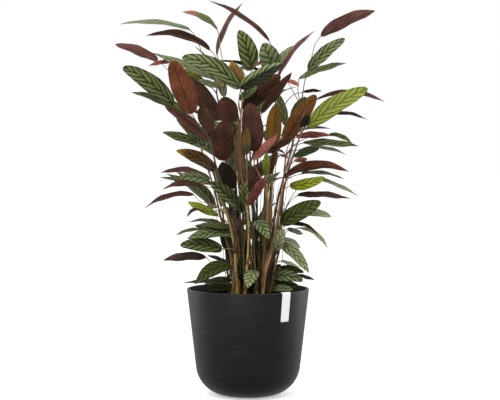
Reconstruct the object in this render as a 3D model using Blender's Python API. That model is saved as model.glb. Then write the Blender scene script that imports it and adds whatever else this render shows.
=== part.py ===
"""Potted calathea: a matt tub filled with soil, a bare tag over its rim and forty or so leafy canes.

Sizes are in metres, +Z is up, the front faces -Y and the foot of the pot stands on z = 0.
The canes and leaves that the photograph shows are placed along its lines of sight.
"""

import math
import random
from collections import namedtuple

import bmesh
import bpy
from mathutils import Vector
from mathutils.bvhtree import BVHTree

# Pot
POT_HEIGHT = 0.305
POT_RIM_RADIUS = 0.175
POT_WALL = 0.006
POT_FLOOR = 0.009
POT_CURVE_HEIGHT = 0.080
POT_CURVE_RADIUS = 0.0901
POT_TAPER = 0.1133
POT_SIDES = 36

# Soil
SOIL_TOP = 0.270
SOIL_DOME = 0.004
HOLE_DEPTH = 0.030
FIT_GAP = 0.0004
SOIL_SIDES = 30

# Tag
TAG_WIDTH = 0.028
TAG_THICKNESS = 0.0011
TAG_OUTSIDE = 0.081
TAG_INSIDE = 0.020
TAG_TURN = math.radians(37.4)
TAG_GAP = 0.0009

# Canes, stalks and blades
CANE_FOOT_RADIUS = 0.0037
CANE_TOP_RADIUS = 0.0021
CANE_SIDES = 5
CANE_STEPS = 4
STALK_FOOT_RADIUS = 0.0015
STALK_TIP_RADIUS = 0.0009
STALK_STEPS = 2
BLADE_THICKNESS = 0.0009
BLADE_ARCH = 0.05
BLADE_FOLD = 0.16
BLADE_WAVE = 0.0028
BLADE_STATIONS = (0.13, 0.46, 0.82)
SHORT_BLADE = 0.120
SHORT_STATIONS = (0.20, 0.72)
ROOT_SPACING = 0.013

# What would cross another node is bent clear of it by these steps.
CLEARANCE = 0.0022
DEPTH_STEP = 0.009
DEPTH_TRIES = 13
STALK_BENDS = (0.0, 0.014, -0.014, 0.028, -0.028, 0.045, -0.045)

# The photograph: its viewpoint, the tilt of the camera and its focal length in pixels of 500 x 400
VIEW = Vector((0.0057, -4.0, 0.700))
VIEW_DOWN = math.radians(2.04)
VIEW_FOCAL = 1400.0
VIEW_MIDDLE = (250.0, 200.0)
PIXEL = 0.002857

Blade = namedtuple("Blade", "base tip normal across arch bow width phase")
Leaf = namedtuple("Leaf", "base tip width reach bow via depth joins", defaults=(0.0, (), 0.0, 1.0))
Stem = namedtuple("Stem", "name path depths leaves")

# Each stem's path runs from just above the soil to its top, and each leaf from its base to its tip,
# as pixels of the photograph. Depths are in metres, away from the viewer, at the foot and the top.
# A leaf's width is in pixels as it is seen: above zero its upper face shows, below zero its underside.
# Its reach says how much of its true length turns towards the viewer, and bow how far it arches, in pixels.
STEMS = (
    Stem("stem_left_orange", ((236, 292), (231, 255), (219, 212), (210, 172), (203, 155), (201, 149)), (-0.06, -0.04), (
        Leaf((197, 142), (162.5, 132.5), 9.5, 0.6),
        Leaf((203, 146), (174, 111), 11, -0.4, 0.0, (), 0.03),
        Leaf((209, 141), (164, 105), -12, 0.7, 1.0),
        Leaf((212, 140), (203, 119), -13, -0.5),
    )),
    Stem("stem_left_front", ((238, 292), (236, 270), (233, 240), (226, 212), (218, 194), (216, 189)), (-0.09, -0.12), (
        Leaf((210, 183), (177, 177), 12, 1.0, 3.0),
        Leaf((202, 186), (163, 189.5), -7, 0.5, 4.0),
        Leaf((194, 195), (145, 208.5), -6, 0.4, 5.0, ((199, 201),), 0.0, 0.8),
        Leaf((210, 179), (160.5, 173), -7, -0.3, 5.0, (), 0.04),
        Leaf((215, 170), (176, 150.5), 13, 0.8, 3.0),
    )),
    Stem("stem_left_low", ((236, 292), (236, 280), (236.5, 258), (236, 240), (234, 230)), (-0.04, -0.03), (
        Leaf((218, 216), (188, 202), 9, -0.5),
        Leaf((219, 208), (207, 206), 4, -0.8),
        Leaf((200, 210), (187, 217), 4, 0.3, 3.0),
        Leaf((232, 227), (197, 225), 7, 0.6),
        Leaf((205, 227), (194, 226), -6, -0.4),
        Leaf((220, 223), (188, 222.5), 4, -0.5, 2.0),
        Leaf((202, 230), (176, 235.5), 4, 0.3, 2.0),
        Leaf((233, 264), (229, 241), 13, 0.2, 0.0, (), 0.05, 0.4),
        Leaf((237, 288), (214, 286), 7, 0.2, 1.0, (), 0.07, 0.12),
    )),
    Stem("stem_left_fan", ((234, 292), (235, 275), (235, 262), (236, 249)), (-0.07, -0.06), (
        Leaf((222, 249), (180, 245), 14, 0.5, 2.0),
        Leaf((234, 235), (187, 239), 12, 0.9, 4.0),
        Leaf((206, 257.5), (163.5, 260.5), -9, 0.3, 2.0, ((213, 266),), 0.0, 0.5),
    )),
    Stem("stem_left_rim", ((233, 293), (233, 283), (233, 275)), (-0.10, -0.11), (
        Leaf((228, 263), (207, 255.5), -5, -0.7),
        Leaf((231, 266), (195, 284), 15, 1.0, 5.0),
        Leaf((232, 280), (205, 283.5), 8, -0.3, 1.0, (), 0.04),
        Leaf((231, 284.5), (183, 283.5), 5, 0.0, 2.0, (), -0.02),
        Leaf((232, 287), (206, 289.5), 8, 0.2, 1.0, (), 0.03, 0.25),
    )),
    Stem("stem_front_drooping", ((257, 293), (257, 285), (257, 277)), (-0.10, -0.10), (
        Leaf((256, 271), (247.5, 288.5), 16, 0.9, 2.0),
        Leaf((258, 270), (264, 281), 7, -0.5),
    )),
    Stem("stem_right_fan", ((269, 292), (274, 272), (279, 252), (281, 238)), (-0.07, -0.08), (
        Leaf((281, 223), (321, 202), 17, 0.5, 1.0),
        Leaf((284, 225), (318.5, 235), -4.5, 0.3, 5.0),
        Leaf((298, 228), (327.5, 249), 5, 0.3, 5.0),
        Leaf((287, 229), (303, 234), 6, -0.6),
        Leaf((281, 239), (300, 248), 9, -0.6, 1.0, (), 0.02),
        Leaf((279, 243), (309, 273), 12, 1.0, 3.0),
    )),
    Stem("stem_right_low", ((267, 293), (270, 280), (273, 268)), (-0.01, -0.02), (
        Leaf((281, 261), (300, 268), 5, -0.4),
        Leaf((277, 270), (304, 272.5), 8, 0.4, 2.0, (), 0.02),
        Leaf((273, 277), (303, 280.5), 12, 0.3, 3.0, (), -0.03, 0.7),
        Leaf((298, 275), (314.5, 280), 4, 0.2, 0.0, ((288, 272),)),
        Leaf((270, 286), (299, 286.5), 8, 0.2, 2.0, (), 0.04, 0.3),
    )),
    Stem("stem_right_orange", ((262, 292), (265, 275), (269.5, 258), (274, 240), (277, 220), (280, 200), (283, 184)), (-0.10, -0.12), (
        Leaf((283, 178), (349, 172), -10.5, 0.4, 9.0),
        Leaf((301, 174), (344.5, 179.5), 4, -0.2, 3.0, (), 0.03),
        Leaf((290, 186), (325, 177.5), 11, 0.5, -2.0, (), 0.05, 0.9),
        Leaf((294, 161), (307, 159), -5, 0.3),
        Leaf((294, 157), (319, 148.5), 8, -0.4, 1.0, (), 0.02),
    )),
    Stem("stem_right_pink", ((266, 292), (272, 262), (280, 240), (281, 205), (284, 180), (286, 153)), (-0.03, -0.05), (
        Leaf((296, 137), (330, 135.5), -7, 0.2, 1.0),
        Leaf((303, 143), (359, 146.5), 8, 0.5, 1.0),
        Leaf((328, 135), (352, 144), 5, 0.2, 3.0, ((312, 136),)),
        Leaf((299, 150), (346, 155), 4, 0.4, 4.0),
        Leaf((269, 153), (295, 136), -8, 0.8),
        Leaf((270, 289), (293, 289.5), 7, 0.2, 1.0, (), -0.02, 0.08),
    )),
    Stem("stem_right_golden", ((266, 292), (269, 250), (271, 222), (272, 180), (272, 160)), (0.01, -0.01), (
        Leaf((272, 150), (276, 104), -16, 0.6),
        Leaf((271, 174), (277, 149), -8, 0.9),
        Leaf((286, 126), (278, 94), 10, -0.6),
        Leaf((284, 142), (316, 95), -17, 0.5, 1.0),
        Leaf((292, 118), (306, 97), 12, -0.7),
        Leaf((272, 286), (280, 264), 12, 0.2, 0.0, (), 0.03, 0.1),
        Leaf((272, 256), (277, 233), 12, 0.2, 0.0, (), 0.04, 0.25),
    )),
    Stem("stem_middle_pink", ((261, 292), (264, 250), (267, 222), (268, 205), (267, 185)), (-0.09, -0.12), (
        Leaf((266, 175), (266, 152), 8, 0.4),
        Leaf((254, 161), (278, 134), -9, 0.9, 0.0, ((258, 172),), -0.02, 0.9),
        Leaf((266, 182), (281, 172), 5, 0.5),
        Leaf((265, 250), (268, 227), 13, 0.2, 0.0, (), 0.08, 0.3),
    )),
    Stem("stem_middle_front", ((244, 292), (247, 265), (248.5, 240), (248, 222), (247.5, 212)), (-0.12, -0.14), (
        Leaf((248, 206), (265, 177), -11, 0.9),
        Leaf((246, 188), (262, 164), -16, 0.5, 0.0, (), 0.04),
        Leaf((245, 206), (243, 180), 10, 0.3, 0.0, (), 0.03),
        Leaf((247, 155), (247, 128), 9, -0.5, 0.0, ((247, 180),), 0.05),
        Leaf((246, 282), (241, 256), 14, 0.3, 0.0, (), 0.06, 0.15),
    )),
    Stem("stem_middle_hanging", ((257, 292), (254.5, 262), (253, 229)), (-0.08, -0.12), (
        Leaf((255, 221), (269, 240), 14, 1.0, 2.0),
        Leaf((250, 220), (232, 232), -7, 0.6, 2.0),
        Leaf((255, 266), (258, 240), 13, 0.3, 0.0, (), 0.06, 0.35),
    )),
    Stem("stem_middle_left", ((241, 292), (242.5, 255), (241, 225), (240, 216)), (-0.05, -0.10), (
        Leaf((239, 209), (208, 181.5), 15, 0.9, 3.0),
        Leaf((243, 262), (247, 236), 14, 0.2, 0.0, (), 0.06, 0.4),
    )),
    Stem("stem_golden", ((244, 292), (248, 258), (246, 215), (240, 180), (240.5, 150), (241, 112)), (-0.02, -0.08), (
        Leaf((240, 88), (182, 57), 17, 0.6, 6.0),
        Leaf((241, 88), (231, 61), -15, -0.5),
        Leaf((241, 88), (283, 64), 14, 0.6, 1.0),
        Leaf((239, 100), (257, 86), 9, -0.5, 0.0, (), 0.03),
        Leaf((240, 190), (238.5, 119), -11, 0.1, 0.0, (), 0.05, 0.55),
        Leaf((252, 284), (254, 260), 13, 0.2, 0.0, (), 0.05, 0.12),
    )),
    Stem("stem_middle_tall", ((259, 292), (253, 240), (247, 200), (248, 175), (251, 161)), (0.02, -0.01), (
        Leaf((254, 152), (250, 103), -22, 0.7),
        Leaf((256, 196), (250, 166), -18, 0.3, 0.0, (), 0.03, 0.7),
        Leaf((243, 110), (280, 75), -17, 0.5, 0.0, ((247, 135),)),
        Leaf((262, 113), (292, 72.5), -10, 0.5, 0.0, ((258, 135),)),
    )),
    Stem("stem_middle_dark", ((238, 292), (237.5, 250), (235, 215), (232, 195), (228, 176)), (-0.02, -0.05), (
        Leaf((223, 161), (224, 120), -24, 0.9),
        Leaf((232, 190), (222, 162), -20, 1.0, 0.0, (), -0.03, 0.9),
        Leaf((229, 124), (225, 97), -22, 0.4, 0.0, ((230, 150),), 0.03),
        Leaf((232, 222), (240, 196), -15, 0.6, 0.0, (), 0.04, 0.7),
        Leaf((237, 246), (241, 223), 14, 0.2, 0.0, (), 0.05, 0.35),
    )),
    Stem("stem_left_upper", ((240, 292), (238, 262), (230, 225), (222, 190), (215, 163), (212, 147), (211, 139)), (-0.05, -0.07), (
        Leaf((173, 104), (123, 67), 17, 0.7, 3.0, ((188, 118),)),
        Leaf((188, 113), (131.5, 92.5), 9, -0.3, 2.0, ((198, 124),)),
        Leaf((192, 114), (172, 61), -22, 0.7, 0.0, ((201, 127),)),
        Leaf((211, 132), (200, 108), -14, 0.3, 0.0, (), 0.05),
    )),
    Stem("stem_left_back", ((240, 292), (237, 250), (233, 205), (226, 165), (221, 140), (219, 132)), (0.02, 0.03), (
        Leaf((219, 120), (188, 77), -18, 0.4),
        Leaf((158, 61), (115, 44.5), -10, 0.3, 2.0, ((200, 100), (176, 78), (167, 69), (163, 65))),
        Leaf((171, 62), (149, 66), -5, 0.5, 1.0, ((185, 80),)),
        Leaf((229, 250), (222, 228), 12, 0.2, 0.0, (), 0.03, 0.3),
    )),
    Stem("stem_upper_left", ((240, 292), (239.5, 240), (236, 190), (228, 150), (220, 115), (217, 97), (216, 90)), (0.03, 0.01), (
        Leaf((214, 80), (151, 53), 8, 0.3, 1.0),
        Leaf((206, 85), (184, 69), 9, -0.6),
        Leaf((217, 86), (197, 80), 7, 0.5),
    )),
    Stem("stem_top_left", ((242, 292), (243, 230), (240, 170), (231, 125), (222, 97), (221, 84)), (0.06, 0.05), (
        Leaf((210, 50), (146, 36), -9, 0.5, 8.0, ((217, 60),)),
        Leaf((190, 30), (120, 24.5), 5.5, 0.2, 4.0, ((203, 55), (198, 42)), 0.02),
        Leaf((217, 29), (182, 12), 7, 0.4, 4.0, ((223, 64), (220, 47)), -0.02),
        Leaf((217, 55), (243, 3), -6, 0.2, 4.0, ((222, 66),), 0.04),
        Leaf((243, 252), (247, 229), 13, 0.2, 0.0, (), 0.0, 0.22),
    )),
    Stem("stem_top_middle", ((260, 292), (256, 230), (250, 170), (250, 120), (250, 95), (250.5, 84)), (0.07, 0.05), (
        Leaf((251, 70), (239, 30), 20, 0.8, 2.0),
        Leaf((255, 66), (261, 62), -4, 0.4),
        Leaf((241, 67), (247, 70), 4, 0.4, 0.0, ((246.5, 78),), 0.02),
        Leaf((256, 289), (251, 266), 14, 0.2, 0.0, (), 0.02, 0.08),
        Leaf((254, 240), (257, 217), 13, 0.2, 0.0, (), 0.03, 0.3),
    )),
    Stem("stem_top_right", ((261, 292), (264, 230), (270, 170), (276, 130), (276, 104), (275.5, 88)), (0.05, 0.03), (
        Leaf((269, 41), (209, 1), -5.5, 0.3, 4.0, ((274, 68), (273.5, 60), (272, 48)), -0.05),
        Leaf((273, 68), (263, 43), 22, 0.5),
        Leaf((274, 66), (297, 46), 9, -0.4, 1.0, (), 0.04),
        Leaf((278, 79), (315, 31), -5.5, 0.2, 4.0),
        Leaf((262, 73), (218, 61), -4, 0.3, 3.0, (), 0.06),
    )),
    Stem("stem_right_upper", ((264, 292), (271.5, 240), (280, 190), (291, 150), (299, 120), (302, 103)), (0.04, 0.03), (
        Leaf((321, 36), (375, 11), -13, 0.3, 3.0, ((305, 80), (312.5, 54), (315, 44), (318, 40))),
        Leaf((308.5, 69.5), (345, 38.5), 12.5, 0.6, 2.0, ((304, 85), (306.5, 76)), -0.03),
        Leaf((299, 79), (346.5, 63.5), 7.5, 0.4, 2.0, (), 0.03),
        Leaf((287, 80.5), (299, 86), -5, 0.4, 1.0, (), 0.01),
    )),
    Stem("stem_right_front", ((264, 292), (273, 245), (282, 200), (291, 160), (298, 140), (301, 133)), (-0.06, -0.10), (
        Leaf((307, 127), (368, 88.5), 17.5, 0.5, 3.0),
        Leaf((301, 128), (309, 115), -9, 0.6),
        Leaf((317, 99.5), (384.5, 102), -6, 0.1, 7.0, ((303, 115),), 0.06),
        Leaf((330, 114.5), (367, 120), -4, 0.3, 3.0, ((314, 118),), 0.05),
        Leaf((276, 250), (284, 229), 11, 0.2, 0.0, (), 0.06, 0.28),
    )),
    Stem("stem_right_thin", ((263, 292), (267.5, 230), (272, 175), (278, 135), (283, 107)), (0.08, 0.09), (
        Leaf((303, 92.5), (322, 91.5), -4, 0.3, 1.0, ((293, 95),)),
    )),
    Stem("stem_right_middle", ((267, 292), (276, 250), (281, 222), (284, 211)), (-0.02, -0.03), (
        Leaf((297, 196), (350.5, 199), -7, 0.4, 2.0, ((290, 202),)),
        Leaf((312, 178), (358, 196.5), 4.5, 0.2, 2.0, ((298, 188),)),
        Leaf((303, 213), (331, 217), 8, -0.4, 2.0),
    )),
)

# Stems behind those, which the photograph hides: a seeded rule that keeps them within the outline seen
HIDDEN_STEMS = 7
HIDDEN_SEED = 11
HIDDEN_LEAVES = 4
HIDDEN_FOOT = (0.060, 0.130)
HIDDEN_TOP_HEIGHT = (0.50, 0.92)
HIDDEN_SPREAD = 0.075
HIDDEN_LENGTH = (0.150, 0.190)

# Short young shoots that fill the dark middle between the canes, a little above the soil
SHOOTS = 2
SHOOT_TOP_HEIGHT = (0.33, 0.43)
SHOOT_LENGTH = (0.100, 0.135)
SHOOT_LEAVES = 3
SHOOT_SPAN = (-0.020, 0.035)


def sight(spot, depth):
    """The point that the photograph shows at a spot, on the upright plane y = depth."""
    right = spot[0] - VIEW_MIDDLE[0]
    up = VIEW_MIDDLE[1] - spot[1]
    ray = Vector((
        right,
        VIEW_FOCAL * math.cos(VIEW_DOWN) + up * math.sin(VIEW_DOWN),
        up * math.cos(VIEW_DOWN) - VIEW_FOCAL * math.sin(VIEW_DOWN),
    ))
    return VIEW + ray * ((depth - VIEW.y) / ray.y)


def smooth_path(points, steps):
    """Points along a smooth curve through the given ones, steps to each stretch."""
    ends = [points[0] * 2 - points[1]] + list(points) + [points[-1] * 2 - points[-2]]
    path = []
    for i in range(1, len(ends) - 2):
        a, b, c, d = ends[i - 1:i + 3]
        for k in range(steps):
            t = k / steps
            path.append(0.5 * (2 * b + (c - a) * t + (2 * a - 5 * b + 4 * c - d) * t * t + (3 * b - a - 3 * c + d) * t ** 3))
    return path + [points[-1].copy()]


def along(path, share):
    """The point and direction at a share of a path's length."""
    lengths = [(b - a).length for a, b in zip(path, path[1:])]
    left = share * sum(lengths)
    for a, b, length in zip(path, path[1:], lengths):
        if left <= length or b is path[-1]:
            return a.lerp(b, min(left / length, 1.0)), (b - a).normalized()
        left -= length


def even_path(path, steps):
    """The same path in a number of even steps."""
    return [along(path, k / steps)[0] for k in range(steps + 1)]


def seen_blade(leaf, depth, phase):
    """The blade of a leaf seen in the photograph, its base at a depth."""
    base = sight(leaf.base, depth)
    flat = sight(leaf.tip, depth)
    seen = (flat - base).length
    length = max(1.03 * seen, 0.62 * seen + 0.075)
    tip = sight(leaf.tip, depth - leaf.reach * math.sqrt(length ** 2 - seen ** 2))
    line = (tip - base).normalized()
    to_viewer = (VIEW - base).normalized()
    facing = (to_viewer - line * to_viewer.dot(line)).normalized()
    upward = facing.cross(line).normalized()
    upward *= 1.0 if upward.z >= 0 else -1.0
    width = max(abs(leaf.width) * PIXEL * 1.03, 0.27 * (tip - base).length)
    turn = leaf.width * PIXEL / width
    normal = facing * turn + upward * math.sqrt(1 - turn * turn)
    arch = facing * (turn * BLADE_ARCH * length)
    return Blade(base, tip, normal, line.cross(normal).normalized(), arch, upward * leaf.bow * PIXEL, width, phase)


def blade_line(blade, t):
    """The midrib of a blade at a share t of its length."""
    return blade.base.lerp(blade.tip, t) + (blade.arch + blade.bow) * (4 * t * (1 - t))


def blade_point(blade, t, side):
    """A point of a blade, side running from -1 at one margin to 1 at the other."""
    half = 0.5 * blade.width * max(math.sin(math.pi * t ** 0.85), 0.0) ** 0.45
    wave = BLADE_WAVE * side * abs(side) * math.sin(4.2 * math.pi * t + blade.phase + 0.8 * side)
    rise = BLADE_FOLD * abs(side) * half + wave * min(1.0, half / (0.2 * blade.width))
    return blade_line(blade, t) + blade.across * (side * half) + blade.normal * rise


def leaf_shell(path, blade, thickness, grow=0.0):
    """Closed triangles of a stalk and the blade it runs into, the blade split alike on both faces."""
    radii = taper(len(path), STALK_FOOT_RADIUS, STALK_TIP_RADIUS)
    points = []
    right = blade.across
    for i in range(len(path) - 1, -1, -1):
        ahead = path[min(i + 1, len(path) - 1)] - path[max(i - 1, 0)] if len(path) > 1 else blade.tip - blade.base
        ahead.normalize()
        right = (right - ahead * ahead.dot(right)).normalized()
        up = right.cross(ahead)
        radius = radii[i] + grow
        points += [path[i] + up * radius, path[i] + (right * 0.87 - up * 0.5) * radius, path[i] - (right * 0.87 + up * 0.5) * radius]
    faces = [(len(points) - 3, len(points) - 2, len(points) - 1)]
    for a in range(0, len(points) - 3, 3):
        for k in range(3):
            b = (k + 1) % 3
            faces += [(a + k, a + b, a + 3 + k), (a + b, a + 3 + b, a + 3 + k)]
    lift = blade.normal * (thickness / 2)
    short = (blade.tip - blade.base).length < SHORT_BLADE
    stations = SHORT_STATIONS if short else BLADE_STATIONS
    first = len(points)
    for t in stations:
        row = [blade_point(blade, t, side) for side in (1.0, 0.0, -1.0)]
        points += [p + lift for p in row] + [p - lift for p in reversed(row)]
    a = first
    faces += [(0, a, a + 1), (0, a + 1, a + 2), (0, 1, a), (1, a + 5, a), (0, a + 2, 2), (2, a + 2, a + 3)]
    faces += [(1, 2, a + 4), (1, a + 4, a + 5), (2, a + 3, a + 4)]
    for n in range(len(stations) - 1):
        a = first + 6 * n
        b = a + 6
        faces += [(a, b, a + 1), (b, b + 1, a + 1), (a + 1, b + 1, b + 2), (a + 1, b + 2, a + 2)]
        faces += [(a + 5, a + 4, b + 5), (b + 5, a + 4, b + 4), (a + 4, b + 3, b + 4), (a + 4, a + 3, b + 3)]
        faces += [(a, a + 5, b), (b, a + 5, b + 5), (a + 2, b + 2, a + 3), (b + 2, b + 3, a + 3)]
    tip = len(points)
    points += [blade.tip + lift, blade.tip - lift]
    a = tip - 6
    faces += [(a, tip, a + 1), (a + 1, tip, a + 2), (a + 5, a + 4, tip + 1), (a + 4, a + 3, tip + 1)]
    faces += [(a, a + 5, tip), (a + 5, tip + 1, tip), (a + 2, tip, a + 3), (a + 3, tip, tip + 1)]
    return points, faces


def tube_shell(path, radii, sides):
    """Closed triangles of a tube along a path."""
    points = []
    reference = Vector((0.31, 0.95, 0.08))
    for i, centre in enumerate(path):
        ahead = path[min(i + 1, len(path) - 1)] - path[max(i - 1, 0)]
        first = ahead.cross(reference).normalized()
        second = ahead.cross(first).normalized()
        for k in range(sides):
            turn = 2 * math.pi * k / sides
            points.append(centre + (first * math.cos(turn) + second * math.sin(turn)) * radii[i])
    faces = []
    for i in range(len(path) - 1):
        for k in range(sides):
            a = i * sides + k
            b = i * sides + (k + 1) % sides
            faces += [(a, b, a + sides), (b, b + sides, a + sides)]
    end = (len(path) - 1) * sides
    for k in range(1, sides - 1):
        faces += [(0, k + 1, k), (end, end + k, end + k + 1)]
    return points, faces


def stalk_path(cane, leaf, blade, bend):
    """A stalk's path: out of the cane, along what the photograph shows of it and into its blade."""
    joins = min(leaf.joins, 0.985)
    start, way = along(cane, joins)
    into = (blade_line(blade, 0.1) - blade.base).normalized()
    vias = [sight(spot, start.y + (blade.base.y - start.y) * (k + 1) / (len(leaf.via) + 1)) for k, spot in enumerate(leaf.via)]
    stops = [start] + vias + [blade.base]
    path = []
    for i in range(len(stops) - 1):
        a, b = stops[i], stops[i + 1]
        out = way if i == 0 else (b - stops[i - 1]).normalized()
        back = into if i == len(stops) - 2 else (stops[i + 2] - a).normalized()
        reach = 0.9 * (b - a).length
        for k in range(STALK_STEPS):
            t = k / STALK_STEPS
            spot = a * (2 * t ** 3 - 3 * t * t + 1) + out * reach * (t ** 3 - 2 * t * t + t)
            spot += b * (3 * t * t - 2 * t ** 3) + back * reach * (t ** 3 - t * t)
            if i == 0:
                spot.y += bend * math.sin(math.pi * t)
            path.append(spot)
    return path + [blade.base.copy()]


def taper(count, first, last):
    """Even steps from the first value to the last; a count of one gives the last."""
    return [last + (first - last) * i / max(count - 1, 1) for i in range(count - 1, -1, -1)]


class Placed:
    """The triangles already placed, which what comes after them keeps clear of."""

    def __init__(self):
        self.shells = []

    def add(self, owner, kind, shell):
        points, faces = shell
        self.shells.append((owner, kind, low_corner(points), high_corner(points), BVHTree.FromPolygons(points, faces)))

    def clash(self, owner, shell, own_kinds=()):
        points, faces = shell
        low, high = low_corner(points), high_corner(points)
        tree = None
        for other, kind, other_low, other_high, other_tree in self.shells:
            if other == owner and kind not in own_kinds:
                continue
            if any(low[k] > other_high[k] or high[k] < other_low[k] for k in range(3)):
                continue
            tree = tree or BVHTree.FromPolygons(points, faces)
            if tree.overlap(other_tree):
                return True
        return False


def low_corner(points):
    return tuple(min(p[k] for p in points) for k in range(3))


def high_corner(points):
    return tuple(max(p[k] for p in points) for k in range(3))


def cane_path(stem, feet):
    """A cane's path, its foot moved along the line of sight until it has room in the soil."""
    foot_depth, top_depth = stem.depths
    foot = sight(stem.path[0], foot_depth)
    tries = sorted((k * 0.5 * ROOT_SPACING for k in range(-16, 17)), key=lambda d: (abs(d), d))
    for shift in tries:
        spot = sight(stem.path[0], foot_depth + shift)
        if math.hypot(spot.x, spot.y) > 0.145:
            continue
        if all(math.hypot(spot.x - other.x, spot.y - other.y) >= ROOT_SPACING for other in feet):
            foot = spot
            break
    feet.append(foot)
    stops = [Vector((foot.x, foot.y, SOIL_TOP + 0.012))]
    low, high = stem.path[0][1], stem.path[-1][1]
    for spot in stem.path[1:]:
        share = (low - spot[1]) / (low - high)
        stops.append(sight(spot, foot.y + (top_depth - foot.y) * share))
    curve = smooth_path(stops, 3)
    return [Vector((foot.x, foot.y, SOIL_TOP - HOLE_DEPTH + 0.001))] + even_path(curve, CANE_STEPS)


def cane_shell(path, grow=0.0):
    radii = [CANE_FOOT_RADIUS] + taper(len(path) - 1, CANE_FOOT_RADIUS, CANE_TOP_RADIUS)
    return tube_shell(path, [r + grow for r in radii], CANE_SIDES)


def place_leaf(name, cane, leaf, make, placed):
    """The stalk and blade of a leaf, moved in depth and bent until clear of what is placed."""
    shifts = sorted((k * DEPTH_STEP for k in range(-DEPTH_TRIES, DEPTH_TRIES + 1)), key=lambda d: (abs(d), d))
    best = None
    for shift in shifts:
        blade = make(shift)
        if placed.clash(name, leaf_shell([blade.base], blade, 2 * CLEARANCE), ("blade",)):
            continue
        for bend in STALK_BENDS:
            path = stalk_path(cane, leaf, blade, bend)
            if not placed.clash(name, leaf_shell(path, blade, 2 * CLEARANCE, CLEARANCE)):
                best = (path, blade)
                break
        if best:
            break
    if best is None:
        print("no room for a leaf of", name, tuple(leaf.base))
        return None
    path, blade = best
    placed.add(name, "stalk", leaf_shell(path, blade, 2 * CLEARANCE, CLEARANCE))
    placed.add(name, "blade", leaf_shell([blade.base], blade, 2 * CLEARANCE))
    return best


def heading(turn, rise):
    """A direction from its turn about the upright axis and its rise above the level."""
    return Vector((math.cos(turn) * math.cos(rise), math.sin(turn) * math.cos(rise), math.sin(rise)))


def hidden_stems(draw):
    """Stems at the back and young shoots: each a foot, a top and the directions of its leaves."""
    stems = []
    for i in range(HIDDEN_STEMS):
        share = (i + 0.5) / HIDDEN_STEMS
        side = 2 * ((i * 0.618) % 1.0) - 1
        height = HIDDEN_TOP_HEIGHT[0] + (HIDDEN_TOP_HEIGHT[1] - HIDDEN_TOP_HEIGHT[0]) * share
        foot = Vector((side * 0.055, draw.uniform(*HIDDEN_FOOT), SOIL_TOP))
        top = Vector((side * HIDDEN_SPREAD, foot.y + draw.uniform(0.04, 0.10), height))
        leaves = []
        for k in range(HIDDEN_LEAVES):
            way = heading(math.radians(90 - 55 * side + draw.uniform(-42, 42)), math.radians(draw.uniform(-5, 60)))
            leaves.append((way, draw.uniform(*HIDDEN_LENGTH), draw.uniform(0.82, 1.0), draw.uniform(-0.5, 0.5)))
        stems.append(("stem_hidden_%d" % (i + 1), foot, top, leaves))
    for i in range(SHOOTS):
        share = i / (SHOOTS - 1)
        foot = Vector((SHOOT_SPAN[0] + (SHOOT_SPAN[1] - SHOOT_SPAN[0]) * share, draw.uniform(0.03, 0.06), SOIL_TOP))
        top = Vector((foot.x + draw.uniform(-0.008, 0.008), foot.y + draw.uniform(-0.01, 0.02), draw.uniform(*SHOOT_TOP_HEIGHT)))
        leaves = []
        for k in range(SHOOT_LEAVES):
            way = heading(2 * math.pi * (k / SHOOT_LEAVES + 0.19 * i), math.radians(draw.uniform(50, 74)))
            leaves.append((way, draw.uniform(*SHOOT_LENGTH), draw.uniform(0.5, 1.0), draw.uniform(-0.8, 0.8)))
        stems.append(("stem_shoot_%d" % (i + 1), foot, top, leaves))
    return stems


def hidden_blade(base, way, length, roll, phase):
    """A blade of a hidden stem, its upper face turned up."""
    side = way.cross(Vector((0, 0, 1))).normalized()
    normal = side.cross(way).normalized()
    normal = (normal * math.cos(roll) + side * math.sin(roll)).normalized()
    tip = base + way * length
    return Blade(base, tip, normal, way.cross(normal).normalized(), normal * (0.09 * length), Vector((0, 0, 0)), 0.29 * length, phase)


def plan_stems():
    """Every stem as its name, its foot and its closed shells, all clear of one another."""
    placed = Placed()
    placed.add("pot", "pot", turned_shell(pot_profile(0.003), 24))
    placed.add("tag", "tag", tag_shell(0.003))
    draw = random.Random(HIDDEN_SEED)
    feet = []
    canes = []
    for stem in STEMS:
        canes.append((stem.name, cane_path(stem, feet), stem))
    for name, foot, top, leaves in hidden_stems(draw):
        middle = foot.lerp(top, 0.5) + Vector((0, -0.015, 0))
        while any(math.hypot(foot.x - f.x, foot.y - f.y) < ROOT_SPACING for f in feet):
            foot.y += 0.5 * ROOT_SPACING
        feet.append(foot)
        start = Vector((foot.x, foot.y, SOIL_TOP + 0.012))
        path = [Vector((foot.x, foot.y, SOIL_TOP - HOLE_DEPTH + 0.001))] + even_path(smooth_path([start, middle, top], 3), CANE_STEPS)
        canes.append((name, path, leaves))
    for k, (name, path, _) in enumerate(canes):
        if placed.clash(name, cane_shell(path, CLEARANCE)):
            path = bend_cane(name, path, placed)
            canes[k] = (name, path, canes[k][2])
        placed.add(name, "cane", cane_shell(path, CLEARANCE))
    stems = []
    for name, path, source in canes:
        shells = [cane_shell(path)]
        leaves = source.leaves if isinstance(source, Stem) else source
        top_depth = path[-1].y
        for leaf in leaves:
            phase = draw.uniform(0, 6.28)
            if isinstance(source, Stem):
                def make(shift, leaf=leaf, phase=phase):
                    return seen_blade(leaf, top_depth + leaf.depth + shift, phase)
                shape = leaf
            else:
                way, length, joins, roll = leaf
                start, _ = along(path, joins)

                def make(shift, start=start, way=way, length=length, roll=roll, phase=phase):
                    base = start + way * 0.04 + Vector((0, shift, 0.02 + 0.3 * shift))
                    return hidden_blade(base, way, length, roll, phase)
                shape = Leaf((0, 0), (0, 0), 0, 0, joins=joins)
            found = place_leaf(name, path, shape, make, placed)
            if found:
                shells.append(leaf_shell(*found, BLADE_THICKNESS))
        stems.append((name, path[0], shells))
    return stems


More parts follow.
